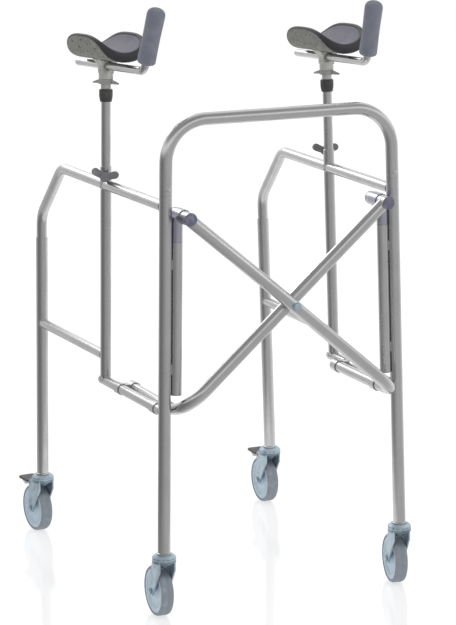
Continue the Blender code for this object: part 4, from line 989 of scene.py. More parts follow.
@dataclass
class SideFrame:
    """One welded side frame: posts, rails, side tube, strut, guide tube and pivot clamps."""

    shop: Workshop
    side: Side
    guide_bottom: float = 0.4465
    guide_top: float = 0.7450
    spigot_drop: float = 0.04
    spigot_stand: float = 0.036
    socket_diameter: float = 0.0225
    socket_top: float = 0.851
    boss_diameter: float = 0.013
    boss_reach: float = 0.022
    side_insertion: float = 0.045
    weld_heights: tuple[float, float] = (0.498, 0.702)

    @property
    def body(self) -> str:
        """The CAD body that the frame is."""
        return f"{self.side.word}_frame"

    @property
    def upward(self) -> Vector:
        """The frame's own upright direction."""
        return LAYOUT.matrix(self.side).to_3x3() @ UP

    @property
    def back(self) -> Vector:
        """The frame's own direction to the rear."""
        return LAYOUT.matrix(self.side).to_3x3() @ BACK

    def at(self, y: float, z: float, inboard: float = 0.0) -> Vector:
        """A point of this frame, given as drawn square."""
        return LAYOUT.at(self.side, y, z, inboard)

    def steel(self, word: str, suffix: str, *parts: bmesh.types.BMesh) -> None:
        """Make one of the frame's steel pieces from its parts."""
        node = f"{self.side.word}_{word}"
        self.shop.piece(f"{node}_{suffix}", self.shop.together(*parts), Look.STEEL, self.body, [node])

    def post(self, place: Place, y: float, top: float) -> list[bmesh.types.BMesh]:
        """A post, and the flanged pin in its foot that a caster swivels on.

        Args:
            place: The caster's place under the post.
            y: Y of the post's axis, as drawn square.
            top: The height of its upper end.

        Returns:
            The tube and the pin.
        """
        foot = joint_point(f"{self.side.word}_{place.value}_swivel")
        pin = [(0.0, RUNNING_GAP), (PIN_RADIUS, RUNNING_GAP), (PIN_RADIUS, 0.0183), (FLANGE_RADIUS, 0.0183),
               (FLANGE_RADIUS, 0.0210), (0.0128, 0.0218), (0.0, 0.0218)]
        return [self.shop.sweep([self.at(y, LAYOUT.post_foot), self.at(y, top)], STOCK.post, STOCK.wall),
                self.shop.lathe(pin, foot, UP)]

    def posts(self) -> None:
        """The posts, and the slider's guide tube that is welded beside the front one."""
        y = LAYOUT.front_y
        inboard = STOCK.post / 2 + LAYOUT.seat_gap + STOCK.rail / 2
        parts = self.post(Place.FRONT, y, LAYOUT.front_post_top)
        guide = [self.at(y, height, inboard) for height in (self.guide_bottom, self.guide_top)]
        parts.append(self.shop.sweep(guide, STOCK.rail, STOCK.wall))
        for height in self.weld_heights:
            seam = self.at(y, height, STOCK.post / 2) - self.upward * 0.009
            for front in (0.0035, -0.0035):
                parts.append(self.shop.bead([seam + self.back * front + self.upward * 0.0022 * step
                                             for step in range(9)]))
        if self.side is Side.RIGHT:
            spigot = [self.at(y, LAYOUT.front_post_top - self.spigot_drop),
                      self.at(y, LAYOUT.front_post_top + self.spigot_stand)]
            parts.append(self.shop.sweep(spigot, STOCK.post - 2 * STOCK.wall - 2 * RUNNING_GAP, STOCK.wall))
        self.steel("front_post", "tube", *parts)
        self.steel("rear_post", "tube", *self.post(Place.REAR, LAYOUT.rear_y, LAYOUT.rear_post_top))

    def side_tube(self) -> None:
        """The side tube with the height clamp's socket and screw boss."""
        height = LAYOUT.side_tube_height
        corners = [
            self.at(LAYOUT.front_y + STOCK.post / 2 - WELD_SINK, height),
            self.at(LAYOUT.rear_y - LAYOUT.slant_run, height),
            self.at(LAYOUT.rear_y, height - LAYOUT.slant_drop),
            self.at(LAYOUT.rear_y, LAYOUT.rear_post_top - self.side_insertion),
        ]
        path = rounded_path(corners, [LAYOUT.side_tube_bend] * 2, STOCK.bend_steps)
        tube = self.shop.sweep(path, STOCK.rail, STOCK.wall)
        foot = self.at(LAYOUT.support_y, height)
        rise = self.socket_top - height
        bore = STOCK.inner / 2 + RUNNING_GAP
        outer = self.socket_diameter / 2
        profile = [(bore, 0.004), (outer, 0.004), (outer, rise - 0.0008), (outer - 0.0008, rise),
                   (bore, rise)]
        socket = self.shop.lathe(profile, foot, self.upward)
        screw = f"{self.side.word}_clamp_turn"
        boss = self.shop.lathe([(0.0, 0.0090), (self.boss_diameter / 2, 0.0090),
                                (self.boss_diameter / 2, self.boss_reach - 0.001),
                                (self.boss_diameter / 2 - 0.001, self.boss_reach), (0.0, self.boss_reach)],
                               joint_point(screw), joint_axis(screw))
        weld = self.shop.weld(self.at(LAYOUT.front_y, height), self.back, STOCK.rail / 2, self.upward,
                              STOCK.post / 2)
        collar = self.shop.weld(foot, self.upward, outer, self.back, STOCK.rail / 2)
        self.steel("side_tube", "bent", tube, socket, boss, weld, collar)

    def rail(self, word: str, start: Vector, end: Vector, diameter: float,
             welds: Sequence[tuple[Vector, Vector, Vector, float]]) -> None:
        """A straight tube with weld beads where it meets others.

        Args:
            word: The last part of its node's name.
            start: One end of its axis.
            end: The other end.
            diameter: Its outer diameter.
            welds: For each bead: the meeting point, the tube's direction there, the host's direction
                and the host's radius.
        """
        beads = [self.shop.weld(centre, away, diameter / 2, host_axis, host)
                 for centre, away, host_axis, host in welds]
        self.steel(word, "tube", self.shop.sweep([start, end], diameter, STOCK.wall), *beads)

    def rails(self) -> None:
        """The strut, the mid rail and the lower rail."""
        upward, back = self.upward, self.back
        low = self.at(LAYOUT.support_y, LAYOUT.lower_rail_height)
        high = self.at(LAYOUT.support_y, LAYOUT.side_tube_height)
        self.rail("strut", low + upward * (STOCK.lower_rail / 2 - WELD_SINK),
                  high - upward * (STOCK.rail / 2 - WELD_SINK), STOCK.rail,
                  [(low, upward, back, STOCK.lower_rail / 2), (high, -upward, back, STOCK.rail / 2)])
        start = self.at(LAYOUT.support_y, LAYOUT.mid_rail_height)
        end = self.at(LAYOUT.rear_y, LAYOUT.mid_rail_height)
        self.rail("mid_rail", start + back * (STOCK.rail / 2 - WELD_SINK),
                  end - back * (STOCK.post / 2 - WELD_SINK), STOCK.mid_rail,
                  [(start, back, upward, STOCK.rail / 2), (end, -back, upward, STOCK.post / 2)])
        start = self.at(LAYOUT.front_y, LAYOUT.lower_rail_height)
        end = self.at(LAYOUT.support_y + LAYOUT.lower_rail_overhang, LAYOUT.lower_rail_height)
        self.rail("lower_rail", start + back * (STOCK.post / 2 - WELD_SINK), end, STOCK.lower_rail,
                  [(start, back, upward, STOCK.post / 2)])

    def clamps(self) -> None:
        """The pressed clamps that hold the cross tube's leg beside the lower rail."""
        for place in Place:
            node = f"{self.side.word}_{place.value}_pivot_clamp"
            self.shop.dressed(node, "pressing", Look.STEEL, self.body, 0.0008)

    def build(self) -> None:
        """Build the whole side frame."""
        self.posts()
        self.side_tube()
        self.rails()
        self.clamps()


@dataclass
class Hoop:
    """The hoop that joins the front posts over the cross."""

    shop: Workshop
    screw_radius: float = 0.0042
    screw_rise: float = 0.012

    def build(self) -> None:
        """Build the bent tube and its two locating screws."""
        low = LAYOUT.lower_rail_height
        top = low + (LAYOUT.hoop_height - low) / math.cos(LAYOUT.lean)
        foot = LAYOUT.front_post_top + LAYOUT.seat_gap
        route = ((Side.RIGHT, foot), (Side.RIGHT, top), (Side.LEFT, top), (Side.LEFT, foot))
        corners = [LAYOUT.at(side, LAYOUT.front_y, height) for side, height in route]
        path = rounded_path(corners, [LAYOUT.hoop_bend] * 2, STOCK.bend_steps + 6)
        parts = [self.shop.sweep(path, STOCK.post, STOCK.wall)]
        radius = self.screw_radius
        for side in Side:
            centre = LAYOUT.at(side, LAYOUT.front_y, LAYOUT.front_post_top + self.screw_rise)
            ahead = -(LAYOUT.matrix(side).to_3x3() @ BACK)
            skin = STOCK.post / 2
            profile = [(0.0, skin - 0.001), (radius, skin - 0.001), (radius, skin + 0.0004),
                       (radius * 0.75, skin + 0.0016), (radius * 0.3, skin + 0.0020), (0.0, skin + 0.0020)]
            parts.append(self.shop.lathe(profile, centre, ahead, 20))
        self.shop.piece("hoop_tube", self.shop.together(*parts), Look.STEEL, "hoop", ["hoop"])


@dataclass
class FoldingCross:
    """The cross: two bent tubes on a centre bolt, with a sliding saddle and rod at the top of each."""

    shop: Workshop
    setoff: float = 0.032
    gap: float = 0.001
    bend: float = 0.065
    kink: float = 0.150
    leg_end: float = 0.240
    stub_reach: float = 0.0145
    stub_back: float = 0.030

    def cross_tube(self, side: Side) -> None:
        """Build a cross tube, from its leg beside the lower rail to the stub on the other side's guide.

        Args:
            side: The side that the tube's leg is on.
        """
        y = LAYOUT.front_y
        level = y - self.setoff
        plane = level if side is Side.RIGHT else level - STOCK.post - self.gap
        low = joint_point("cross_fold")
        centre = joint_point("cross_centre")
        high = joint_point("left_slider_turn" if side is Side.RIGHT else "right_slider_turn")
        low_x = side.value * abs(low.x)
        corners = [(low_x, y + self.leg_end, low.z), (low_x, plane, low.z), (high.x, level, high.z)]
        bends = [self.bend]
        if plane != level:
            corners.insert(2, (0.0, plane, centre.z))
            bends.append(self.kink)
        path = rounded_path(corners, bends, STOCK.bend_steps)
        leg = STOCK.bend_steps // 3 + 1
        sizes = [STOCK.cross_leg] * leg
        sizes += [STOCK.cross_leg + (STOCK.post - STOCK.cross_leg) * (step + 1) / 4 for step in range(4)]
        sizes += [STOCK.post] * (len(path) - len(sizes))
        tube = self.shop.sweep(path, sizes, STOCK.wall)
        ends = [(high.x, level - self.stub_reach, high.z), (high.x, y + self.stub_back, high.z)]
        stub = self.shop.sweep(ends, STOCK.post, STOCK.wall)
        meeting = Vector((high.x, level, high.z))
        away = (Vector((0.0, plane, centre.z)) - meeting).normalized()
        weld = self.shop.weld(meeting, away, STOCK.post / 2 * 0.98, BACK, STOCK.post / 2)
        body = f"{side.word}_cross"
        self.shop.piece(f"{body}_tube_bent", self.shop.together(tube, stub, weld), Look.STEEL, body,
                        [f"{body}_tube"])

    def small_parts(self) -> None:
        """The stub caps, the centre bolt, the saddles and the rods."""
        for side in Side:
            cross = f"{side.word}_cross"
            for place in Place:
                self.shop.dressed(f"{cross}_{place.value}_cap", "plug", Look.SLATE, cross, 0.0005)
            slider = f"{side.word}_slider"
            self.shop.dressed(f"{side.word}_saddle", "casting", Look.SADDLE, slider, 0.0008)
            node = f"{side.word}_slider_rod"
            low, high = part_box(node)
            upward = joint_axis(f"{side.word}_height")
            middle = (low + high) / 2
            reach = (high.z - low.z) / 2 / upward.z - 0.0004
            rod = self.shop.sweep([middle - upward * reach, middle + upward * reach], STOCK.rod, STOCK.wall)
            self.shop.piece(f"{node}_tube", rod, Look.STEEL, slider, [node])
        self.centre_bolt()

    def centre_bolt(self) -> None:
        """A hexagon-headed bolt through both tubes, with washers."""
        low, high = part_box("centre_bolt")
        centre = joint_point("cross_centre")
        shank = self.shop.lathe([(0.0, low.y + 0.0005), (0.0038, low.y + 0.0005), (0.0038, high.y - 0.0005),
                                 (0.0, high.y - 0.0005)], (centre.x, 0.0, centre.z), BACK, 20)
        parts = [shank]
        for start, outward in ((low.y + 0.006, -1.0), (high.y - 0.006, 1.0)):
            washer = [(0.0, 0.0), (0.009, 0.0), (0.009, 0.0010), (0.0, 0.0010)]
            head = [(0.0, 0.0010), (0.0078, 0.0010), (0.0078, 0.0052), (0.0068, 0.0060), (0.0, 0.0060)]
            for profile, sides in ((washer, 28), (head, 6)):
                parts.append(self.shop.lathe(profile, (centre.x, start, centre.z), BACK * outward, sides))
        self.shop.piece("centre_bolt_hex", self.shop.together(*parts), Look.ZINC, "right_cross",
                        ["centre_bolt"], 0.0003)

    def build(self) -> None:
        """Build the cross."""
        for side in Side:
            self.cross_tube(side)
        self.small_parts()


@dataclass
class Caster:
    """One caster: pressed fork, axle, moulded wheel, and a brake pedal at the rear."""

    shop: Workshop
    side: Side
    place: Place
    wheel_radius: float = 0.050
    wheel_width: float = 0.026
    disc_radius: float = 0.0435
    hub_radius: float = 0.012
    fork_inner: float = 0.0145
    plate: float = 0.003
    head_radius: float = 0.0235
    head_height: float = 0.018
    pedal_half_width: float = 0.0125

    @property
    def name(self) -> str:
        """The words that its nodes begin with."""
        return f"{self.side.word}_{self.place.value}"

    @property
    def foot(self) -> Vector:
        """Where the swivel's axis meets the underside of the head."""
        return joint_point(f"{self.name}_swivel")

    @property
    def across(self) -> Vector:
        """The direction of the axle."""
        return joint_axis(f"{self.name}_roll")

    @property
    def hub(self) -> Vector:
        """The wheel's centre."""
        return joint_point(f"{self.name}_roll")

    def wheel(self) -> None:
        """The tyre with its shoulders and mould lines, and the pale disc on each side."""
        half = self.wheel_width / 2
        outer = self.wheel_radius
        inner = self.disc_radius
        side_profile = [(inner, half - 0.0030), (inner + 0.0005, half - 0.0008), (inner + 0.0012, half),
                        (outer - 0.0040, half), (outer - 0.0020, half - 0.0010),
                        (outer - 0.0006, half - 0.0030), (outer, half - 0.0062), (outer, 0.0022),
                        (outer - 0.0005, 0.0014), (outer - 0.0005, 0.0)]
        profile = side_profile + [(radius, -distance) for radius, distance in reversed(side_profile[:-1])]
        tyre = self.shop.lathe(profile, self.hub, self.across, 64)
        wheel = f"{self.name}_wheel"
        self.shop.piece(f"{self.name}_tyre", tyre, Look.TYRE, wheel, [wheel], crease=50.0)
        hub = self.hub_radius
        face = [(0.0045, half + 0.0006), (hub - 0.0015, half + 0.0006), (hub, half - 0.0006),
                (hub + 0.0015, half - 0.0034), (hub + 0.0090, half - 0.0046), (inner - 0.0100, half - 0.0040),
                (inner - 0.0080, half - 0.0016), (inner - 0.0020, half - 0.0010),
                (inner + 0.0002, half - 0.0016)]
        profile = face + [(radius, -distance) for radius, distance in reversed(face)]
        disc = self.shop.lathe(profile, self.hub, self.across, 64)
        self.shop.piece(f"{self.name}_disc", disc, Look.DISC, wheel, crease=50.0)

    def fork(self) -> None:
        """The pressed fork: the CAD's plates with rounded edges, under a turned swivel head, with a dark nut
        below the head that is painted shade for the shadowed gap between crown and wheel.
        """
        node = f"{self.name}_fork"
        body = f"{self.name}_caster"
        radius = self.head_radius
        top = self.head_height
        profile = [(0.006, 0.0), (radius - 0.0035, 0.0), (radius, 0.0030), (radius, 0.0072),
                   (radius - 0.0015, 0.0084), (radius - 0.0015, 0.0098), (radius, 0.0108),
                   (radius - 0.0010, top - 0.0045), (radius - 0.0060, top - 0.0008), (0.0150, top - 0.0004),
                   (0.0060, top - 0.0004)]
        head = self.shop.lathe(profile, self.foot, UP, 48)
        self.shop.dressed(node, "pressing", Look.ZINC, body, 0.0008)
        # painted shade: a dark zinc nut put in the gap under the head, where there is only the shadow under
        # the crown
        nut = self.shop.lathe([(0.0, -0.0085), (0.0070, -0.0085), (0.0085, -0.0070), (0.0110, -0.0040),
                               (0.0140, 0.0004), (0.0, 0.0004)], self.foot, UP, 32)
        self.shop.piece(f"{node}_head", self.shop.together(head, nut), Look.HEAD, body)

    def axle(self) -> None:
        """The axle bolt with its hexagon head and nut."""
        node = f"{self.name}_axle"
        out = self.fork_inner + self.plate + RUNNING_GAP
        shank = [(0.0, -out), (0.0038, -out), (0.0038, out), (0.0, out)]
        parts = [self.shop.lathe(shank, self.hub, self.across, 20)]
        for sign in (-1.0, 1.0):
            head = [(0.0, out), (0.0066, out), (0.0066, out + 0.0032), (0.0056, out + 0.0039),
                    (0.0, out + 0.0039)]
            parts.append(self.shop.lathe(head, self.hub, self.across * sign, 6))
        self.shop.piece(f"{node}_bolt", self.shop.together(*parts), Look.ZINC, f"{self.name}_caster", [node],
                        0.0003)

    def pedal(self) -> None:
        """The brake pedal: the CAD's dark plate, over a pale body whose underside clears the wheel."""
        node = f"{self.name}_brake_pedal"
        body = f"{self.side.word}_brake_pedal"
        self.shop.dressed(node, "moulding", Look.BLACK, body, 0.0008)
        pin = joint_point(f"{self.side.word}_brake")
        back = pin - self.foot
        back = Vector((back.x, back.y, 0.0)).normalized()
        half = self.across * self.pedal_half_width
        outline = [pin + back * out + UP * height - half for out, height in
                   ((0.012, -0.0015), (0.053, -0.0015), (0.054, -0.0050), (0.036, -0.0135), (0.020, -0.0070),
                    (0.012, -0.0045))]
        self.shop.piece(f"{node}_body", self.shop.slab(outline, half * 2), Look.WEDGE, body, bevel=0.0010)

    def build(self) -> None:
        """Build the caster."""
        self.fork()
        self.axle()
        self.wheel()
        if self.place is Place.REAR:
            self.pedal()


@dataclass
class ArmSupport:
    """One arm support: sliding tube, bush, cast head, wing knob, grip bar, grip, trough and clamp screw."""

    shop: Workshop
    side: Side
    tube_bottom: float = 0.640
    tube_top: float = 1.004
    stem_length: float = 0.031
    head_height: float = 0.024
    cradle_height: float = 0.005
    cradle_lip: float = 0.003
    bar_height: float = 0.015
    bar_tilt: float = math.radians(2.6)
    bar_rear: float = 0.147
    bar_front: float = 0.198
    bar_bend: float = 0.026
    bar_wall: float = 0.0015
    grip_lean: float = math.radians(19.0)
    grip_diameter: float = 0.036
    grip_length: float = 0.112
    trough_length: float = 0.220
    trough_radius: float = 0.0515
    trough_half_angle: float = math.radians(71.0)
    trough_flat_angle: float = math.radians(20.0)
    trough_squareness: float = 2.8
    trough_base: float = 0.020
    trough_wing: float = 0.008
    rim_start: float = 0.93
    seam_reach: float = 0.905

    @property
    def word(self) -> str:
        """The word that its nodes and bodies begin with."""
        return self.side.word

    @property
    def lift(self) -> float:
        """How far this side's support stands above or below mid height."""
        return 0.001 if self.side is Side.RIGHT else -0.008

    @property
    def grip_roll(self) -> float:
        """How far this side's grip is rolled inwards."""
        return math.radians(4.0) if self.side is Side.RIGHT else 0.0

    def world(self, point: Point) -> Vector:
        """A point that is drawn square, in the walker."""
        return LAYOUT.matrix(self.side) @ Vector(point)

    def tube(self) -> None:
        """The sliding support tube and its black bush."""
        y = LAYOUT.support_y
        low = LAYOUT.at(self.side, y, self.tube_bottom + self.lift)
        high = LAYOUT.at(self.side, y, self.tube_top + self.lift)
        upward = (high - low).normalized()
        pin = self.shop.lathe([(0.0, -0.002), (0.0085, -0.002), (0.0085, -0.0004), (0.006, -0.0002),
                               (0.006, 0.0236), (0.0, 0.0236)], high, upward)
        tube = self.shop.sweep([low, high - upward * 0.0005], STOCK.inner, STOCK.wall)
        body = f"{self.word}_support"
        self.shop.piece(f"{body}_tube_bright", self.shop.together(tube, pin), Look.STEEL, body,
                        [f"{body}_tube"])
        inner = STOCK.inner / 2 + RUNNING_GAP
        outer = inner + 0.0038
        length = 0.025
        profile = [(inner, -length), (outer - 0.0019, -length), (outer - 0.0002, -length * 0.62),
                   (outer, -length * 0.55), (outer, -0.0022), (outer - 0.0012, -0.0006), (inner, -0.0004)]
        self.shop.piece(f"{body}_bush_turned", self.shop.lathe(profile, high, upward), Look.BLACK, body,
                        [f"{body}_bush"])

    def head(self) -> None:
        """The cast head and the wing knob below it."""
        self.shop.dressed(f"{self.word}_support_head", "casting", Look.CAST, f"{self.word}_head", 0.0010)
        self.shop.dressed(f"{self.word}_wing_knob", "moulding", Look.WING, f"{self.word}_wing_knob", 0.0008)

    def bar_point(self, forward: float) -> Vector:
        """Find a point on the grip bar's straight run.

        Args:
            forward: How far in front of the support's axis it is.

        Returns:
            The point, as drawn square.
        """
        height = self.tube_top + RUNNING_GAP + self.stem_length + self.bar_height + self.lift
        return Vector((LAYOUT.side_x(self.side), LAYOUT.support_y - forward,
                       height + forward * math.tan(self.bar_tilt)))

    def grip_axis(self) -> tuple[Vector, Vector, float]:
        """Work out where the grip stands.

        Returns:
            The bar's corner, the grip's direction and how far up it the grip starts, as drawn square.
        """
        corner = self.bar_point(self.bar_front)
        rise = math.cos(self.grip_lean)
        roll = self.grip_roll
        upward = Vector((-self.side.value * rise * math.sin(roll), -math.sin(self.grip_lean),
                         rise * math.cos(roll)))
        turn = math.pi / 2 - self.grip_lean - self.bar_tilt
        return corner, upward, self.bar_bend * math.tan(turn / 2) + LAYOUT.seat_gap

    def bar(self) -> None:
        """The bent grip bar, open at its rear end."""
        corner, upward, start = self.grip_axis()
        end = corner + upward * (start + self.grip_length - 0.0063)
        corners = [self.world(self.bar_point(-self.bar_rear)), self.world(corner), self.world(end)]
        path = rounded_path(corners, [self.bar_bend], STOCK.bend_steps)
        body = f"{self.word}_grip_bar"
        tube = self.shop.sweep(path, STOCK.bar, self.bar_wall)
        self.shop.piece(f"{body}_bent", tube, Look.STEEL, body, [body])

    def grip(self) -> None:
        """The foam grip: a soft sleeve with a domed top, slightly waisted where the hand goes."""
        corner, upward, start = self.grip_axis()
        outer = self.grip_diameter / 2
        inner = STOCK.bar / 2 + RUNNING_GAP
        rows = 22
        dome = 0.012
        chamfer = 0.0032
        bore = 0.006
        top = start + self.grip_length
        wall = [(outer - 0.0035, start), (outer - 0.0012, start + 0.0010), (outer, start + chamfer)]
        for row in range(1, rows):
            waist = 0.0007 * math.sin(math.pi * row / rows) ** 2
            wall.append((outer - waist, start + chamfer + (self.grip_length - dome - chamfer) * row / rows))
        for row in range(9):
            angle = math.pi / 2 * row / 8
            wall.append((outer - dome + dome * math.cos(angle), top - dome + dome * math.sin(angle)))
        wall += [(0.0, top), (0.0, top - bore), (inner, top - bore), (inner, start)]
        direction = (LAYOUT.matrix(self.side).to_3x3() @ upward).normalized()
        sleeve = self.shop.lathe(wall, self.world(corner), direction, 48)
        grip = self.shop.piece(f"{self.word}_foam_grip", sleeve, Look.FOAM, f"{self.word}_grip_bar",
                               [f"{self.word}_grip"], crease=70.0)

    def trough_point(self, angle: float, reach: float, face: int) -> Vector:
        """A point of the padded trough.

        Args:
            angle: The way round its outline.
            reach: From its middle, 0, to its rim, 1.
            face: 1 on the side of the forearm, -1 on the outside, 0 between them on the rim.

        Returns:
            The point in the walker.
        """
        power = 2 / self.trough_squareness
        sine, cosine = math.sin(angle), math.cos(angle)
        across = reach * math.copysign(abs(sine) ** power, sine) * self.trough_half_angle
        forward = reach * math.copysign(abs(cosine) ** power, cosine) * self.trough_length / 2
        flat = self.trough_flat_angle
        wing = max(abs(across) - flat, 0.0) / (self.trough_half_angle - flat)
        thinning = (1 - math.cos(math.pi * wing)) / 2
        thickness = self.trough_base - (self.trough_base - self.trough_wing) * thinning
        rounding = max(reach - self.rim_start, 0.0) / (1 - self.rim_start)
        depth = thickness * (0.25 + 0.75 * math.sqrt(max(1 - rounding ** 2.4, 0.0)))
        inward = (thickness - face * depth) / 2
        if face > 0:
            inward += 0.0014 * math.exp(-((reach - self.seam_reach) / 0.010) ** 2)
        radius = self.trough_radius + inward
        seat = (self.tube_top + RUNNING_GAP + self.stem_length + self.head_height + self.cradle_height
                - self.cradle_lip + self.lift)
        height = seat + self.trough_base + self.trough_radius + forward * math.tan(self.bar_tilt)
        axis = Vector((LAYOUT.side_x(self.side), LAYOUT.support_y - forward, height))
        return self.world(axis + Vector((radius * math.sin(across), 0.0, -radius * math.cos(across))))

    def trough(self) -> None:
        """The padded trough: a grey pad with a sewn seam, a black bound edge and a grained shell outside."""
        spokes = 96
        reaches = [0.1, 0.22, 0.34, 0.46, 0.58, 0.68, 0.76, 0.82, 0.86, 0.88, 0.892, 0.905, 0.918, 0.932,
                   0.945, 0.958, 0.970, 0.981, 0.990, 0.996]
        angles = [2 * math.pi * (spoke + 0.5) / spokes for spoke in range(spokes)]
        shape = bmesh.new()
        edge = shape.verts.layers.float.new("edge")
        outside = shape.verts.layers.float.new("outside")

        def vertex(angle: float, reach: float, face: int) -> bmesh.types.BMVert:
            """A vertex that knows how near the bound edge it is, and which side it is on.

            Args:
                angle: The way round the outline.
                reach: From the middle, 0, to the rim, 1.
                face: 1 inside, -1 outside, 0 on the rim.

            Returns:
                The vertex.
            """
            made = shape.verts.new(self.trough_point(angle, reach, face))
            start = self.seam_reach + 0.004 if face > 0 else 0.955
            made[edge] = min(max((reach - start) / 0.012, 0.0), 1.0)
            made[outside] = 1.0 if face < 0 else 0.0
            return made

        rim = [vertex(angle, 1.0, 0) for angle in angles]
        for face in (-1, 1):
            middle = vertex(0.0, 0.0, face)
            loops = [[vertex(angle, reach, face) for angle in angles] for reach in reaches]
            loops.append(rim)
            for spoke in range(spokes):
                other = (spoke + 1) % spokes
                shape.faces.new((middle, loops[0][spoke], loops[0][other]))
                for loop, following in zip(loops, loops[1:]):
                    shape.faces.new((loop[spoke], following[spoke], following[other], loop[other]))
        bmesh.ops.recalc_face_normals(shape, faces=shape.faces)
        pad = self.shop.piece(f"{self.word}_trough_pad", shape, Look.PAD, f"{self.word}_head",
                              [f"{self.word}_forearm_trough"], crease=80.0)

    def build(self) -> None:
        """Build the arm support."""
        self.tube()
        self.head()
        self.bar()
        self.grip()
        self.trough()
        self.shop.dressed(f"{self.word}_clamp_knob", "moulding", Look.KNOB, f"{self.word}_clamp_knob", 0.0009)


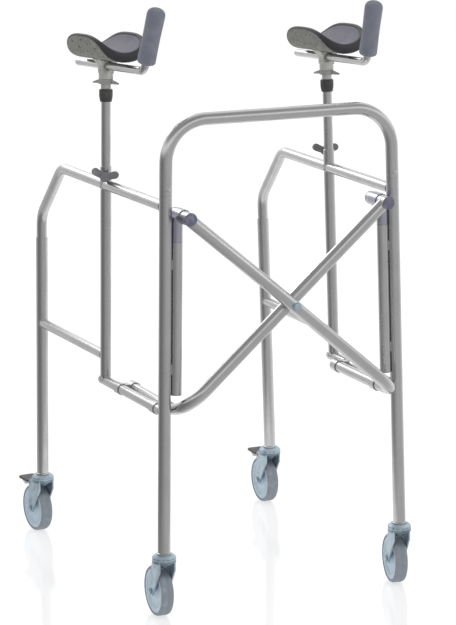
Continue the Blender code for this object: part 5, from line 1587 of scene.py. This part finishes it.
@dataclass
class Studio:
    """The camera, the white world, the floor and the lamps."""

    lens: float = 161.28
    sensor: float = 36.0
    distance_x: float = -2.17631
    distance_y: float = -4.86853
    height: float = 1.69916
    yaw: float = math.radians(-22.9581)
    pitch: float = math.radians(-11.7665)
    roll: float = math.radians(-0.6889)
    room_light: float = 0.80
    floor_glow: float = 0.62
    glow_strength: float = 1.26
    floor_mirror: float = 0.20

    def camera(self) -> None:
        """A long-lens camera at the photograph's viewing angle."""
        data = bpy.data.cameras.new("camera")
        data.sensor_fit = "VERTICAL"
        data.sensor_height = self.sensor
        data.lens = self.lens
        eye = bpy.data.objects.new("camera", data)
        bpy.context.scene.collection.objects.link(eye)
        ahead = Vector((-math.sin(self.yaw) * math.cos(self.pitch), math.cos(self.yaw) * math.cos(self.pitch),
                        math.sin(self.pitch)))
        right = ahead.cross(UP).normalized()
        upward = right.cross(ahead)
        across = right * math.cos(self.roll) + upward * math.sin(self.roll)
        upright = upward * math.cos(self.roll) - right * math.sin(self.roll)
        place = Matrix((across, upright, -ahead)).transposed().to_4x4()
        place.translation = (self.distance_x, self.distance_y + LAYOUT.front_y, self.height)
        eye.matrix_world = place
        bpy.context.scene.camera = eye

    def world(self) -> None:
        """A plain white world, a little weaker where it lights the object than where it is seen."""
        world = bpy.data.worlds.new("studio")
        world.use_nodes = True
        bpy.context.scene.world = world
        sky = Tree(world.node_tree)
        seen = sky.rays("Camera", "Glossy", "Transmission")
        background = world.node_tree.nodes["Background"].inputs
        sky.feed(background["Color"], WHITE)
        sky.feed(background["Strength"], self.room_light + (1.0 - self.room_light) * seen)

    def floor(self) -> None:
        """A white glossy floor that keeps soft shadows and a faint mirror image."""
        shape = bmesh.new()
        bmesh.ops.create_grid(shape, x_segments=1, y_segments=1, size=9.0)
        surface = Surface("studio floor")
        surface.set(Base_Color=(0.90, 0.90, 0.91, 1.0), Roughness=0.6)
        glow = surface.glow(WHITE, self.glow_strength)
        lit = surface.layered(self.floor_glow, surface.shader.outputs[0], glow)
        mirror = surface.node("BsdfGlossy", {"Color": WHITE, "Roughness": 0.10}).outputs[0]
        place = surface.node("NewGeometry").outputs["Position"]
        reach = surface.number(surface.node("VectorMath", {0: place}, operation="LENGTH").outputs["Value"])
        polished = surface.layered(self.floor_mirror * (1.0 - reach.step(0.75, 1.5)), lit, mirror)
        surface.show(surface.layered(surface.rays("Glossy", "Transmission"), polished, surface.glow(WHITE)))
        placed("floor", shape, surface.material)

    def card(self, name: str, rings: Sequence[tuple[float, float, float]],
             shades: Sequence[tuple[float, float]]) -> None:
        """A grey card, bent round the walker, that only gloss sees: it gives the tubes their dark bands.

        Args:
            name: The card's name.
            rings: The radius and height of each row, and how strong the card is there, from 0 to 1. The
                card is clear from behind, so a low one has its widest row first, and the floor's own gloss
                misses it.
            shades: Its brightness at angles in degrees from the camera's side, left negative; white is 1.
        """
        shape = bmesh.new()
        shade = shape.verts.layers.float.new("shade")
        camera = math.degrees(math.atan2(self.distance_y, self.distance_x))
        first, last = shades[0][0], shades[-1][0]
        steps = round((last - first) / 3.0)
        rows: list[list[bmesh.types.BMVert]] = []
        for radius, height, strength in rings:
            row = []
            for step in range(steps + 1):
                angle = first + (last - first) * step / steps
                turn = math.radians(camera + angle)
                vertex = shape.verts.new((radius * math.cos(turn), radius * math.sin(turn), height))
                vertex[shade] = 1.0 - (1.0 - self.between(shades, angle)) * strength
                row.append(vertex)
            rows.append(row)
        for low, high in zip(rows, rows[1:]):
            for step in range(steps):
                shape.faces.new((low[step], low[step + 1], high[step + 1], high[step]))
        surface = Surface(name)
        clear = surface.node("BsdfTransparent").outputs[0]
        behind = surface.node("NewGeometry").outputs["Backfacing"]
        surface.show(surface.layered(behind, surface.glow(surface.painted("shade")), clear))
        thing = placed(name, shape, surface.material)
        for rays in ("camera", "diffuse", "shadow", "transmission"):
            setattr(thing, f"visible_{rays}", False)

    @staticmethod
    def between(table: Sequence[tuple[float, float]], place: float) -> float:
        """Read a table along straight lines.

        Args:
            table: Places in rising order, each with its value.
            place: The place that is asked for.

        Returns:
            The value there.
        """
        for (start, low), (end, high) in zip(table, table[1:]):
            if place <= end:
                return low + (high - low) * (place - start) / (end - start)
        return table[-1][1]

    def lamp(self, name: str, place: Point, target: Point, size: float, power: float) -> None:
        """Hang a soft square lamp that faces a target.

        Args:
            name: The lamp's name.
            place: Where it hangs.
            target: The point that it faces.
            size: The length of its side.
            power: Its power in watts.
        """
        data = bpy.data.lights.new(name, "AREA")
        data.size = size
        data.energy = power
        lamp = bpy.data.objects.new(name, data)
        bpy.context.scene.collection.objects.link(lamp)
        lamp.location = place
        lamp.rotation_euler = (Vector(target) - Vector(place)).to_track_quat("-Z", "Y").to_euler()

    def build(self) -> None:
        """Set up the studio."""
        bpy.context.scene.view_settings.view_transform = "Standard"
        self.camera()
        self.world()
        self.floor()
        self.card("low card", [(2.1, 1.4, 0.0), (2.1, 1.0, 1.0), (1.9, 0.3, 1.0), (1.6, 0.006, 1.0),
                               (0.62, 0.006, 0.9), (0.36, 0.006, 0.0)],
                  [(-150.0, 0.80), (-105.0, 0.54), (-85.0, 0.22), (-45.0, 0.22), (-15.0, 0.38), (20.0, 0.54),
                   (70.0, 0.55), (110.0, 0.85)])
        self.card("high card", [(0.05, 3.65, 0.6), (0.6, 3.6, 0.7), (1.2, 3.4, 0.85), (1.8, 2.9, 1.0),
                                (2.15, 2.15, 0.85), (2.25, 1.75, 0.0)],
                  [(-120.0, 0.65), (-90.0, 0.38), (-20.0, 0.34), (50.0, 0.26), (90.0, 0.40), (120.0, 0.8)])
        self.lamp("key", (1.9, -2.2, 3.0), (0.0, 0.0, 0.7), 1.8, 26.0)
        self.lamp("back", (-0.5, 2.8, 2.6), (0.0, 0.0, 0.6), 1.6, 16.0)


def main() -> None:
    """Build the studio and every sub-assembly."""
    logging.basicConfig(level=logging.INFO, format="%(name)s: %(message)s")
    Studio().build()
    shop = Workshop()
    for side in Side:
        SideFrame(shop, side).build()
        ArmSupport(shop, side).build()
        for place in Place:
            Caster(shop, side, place).build()
    Hoop(shop).build()
    FoldingCross(shop).build()


if __name__ == "__main__":
    main()
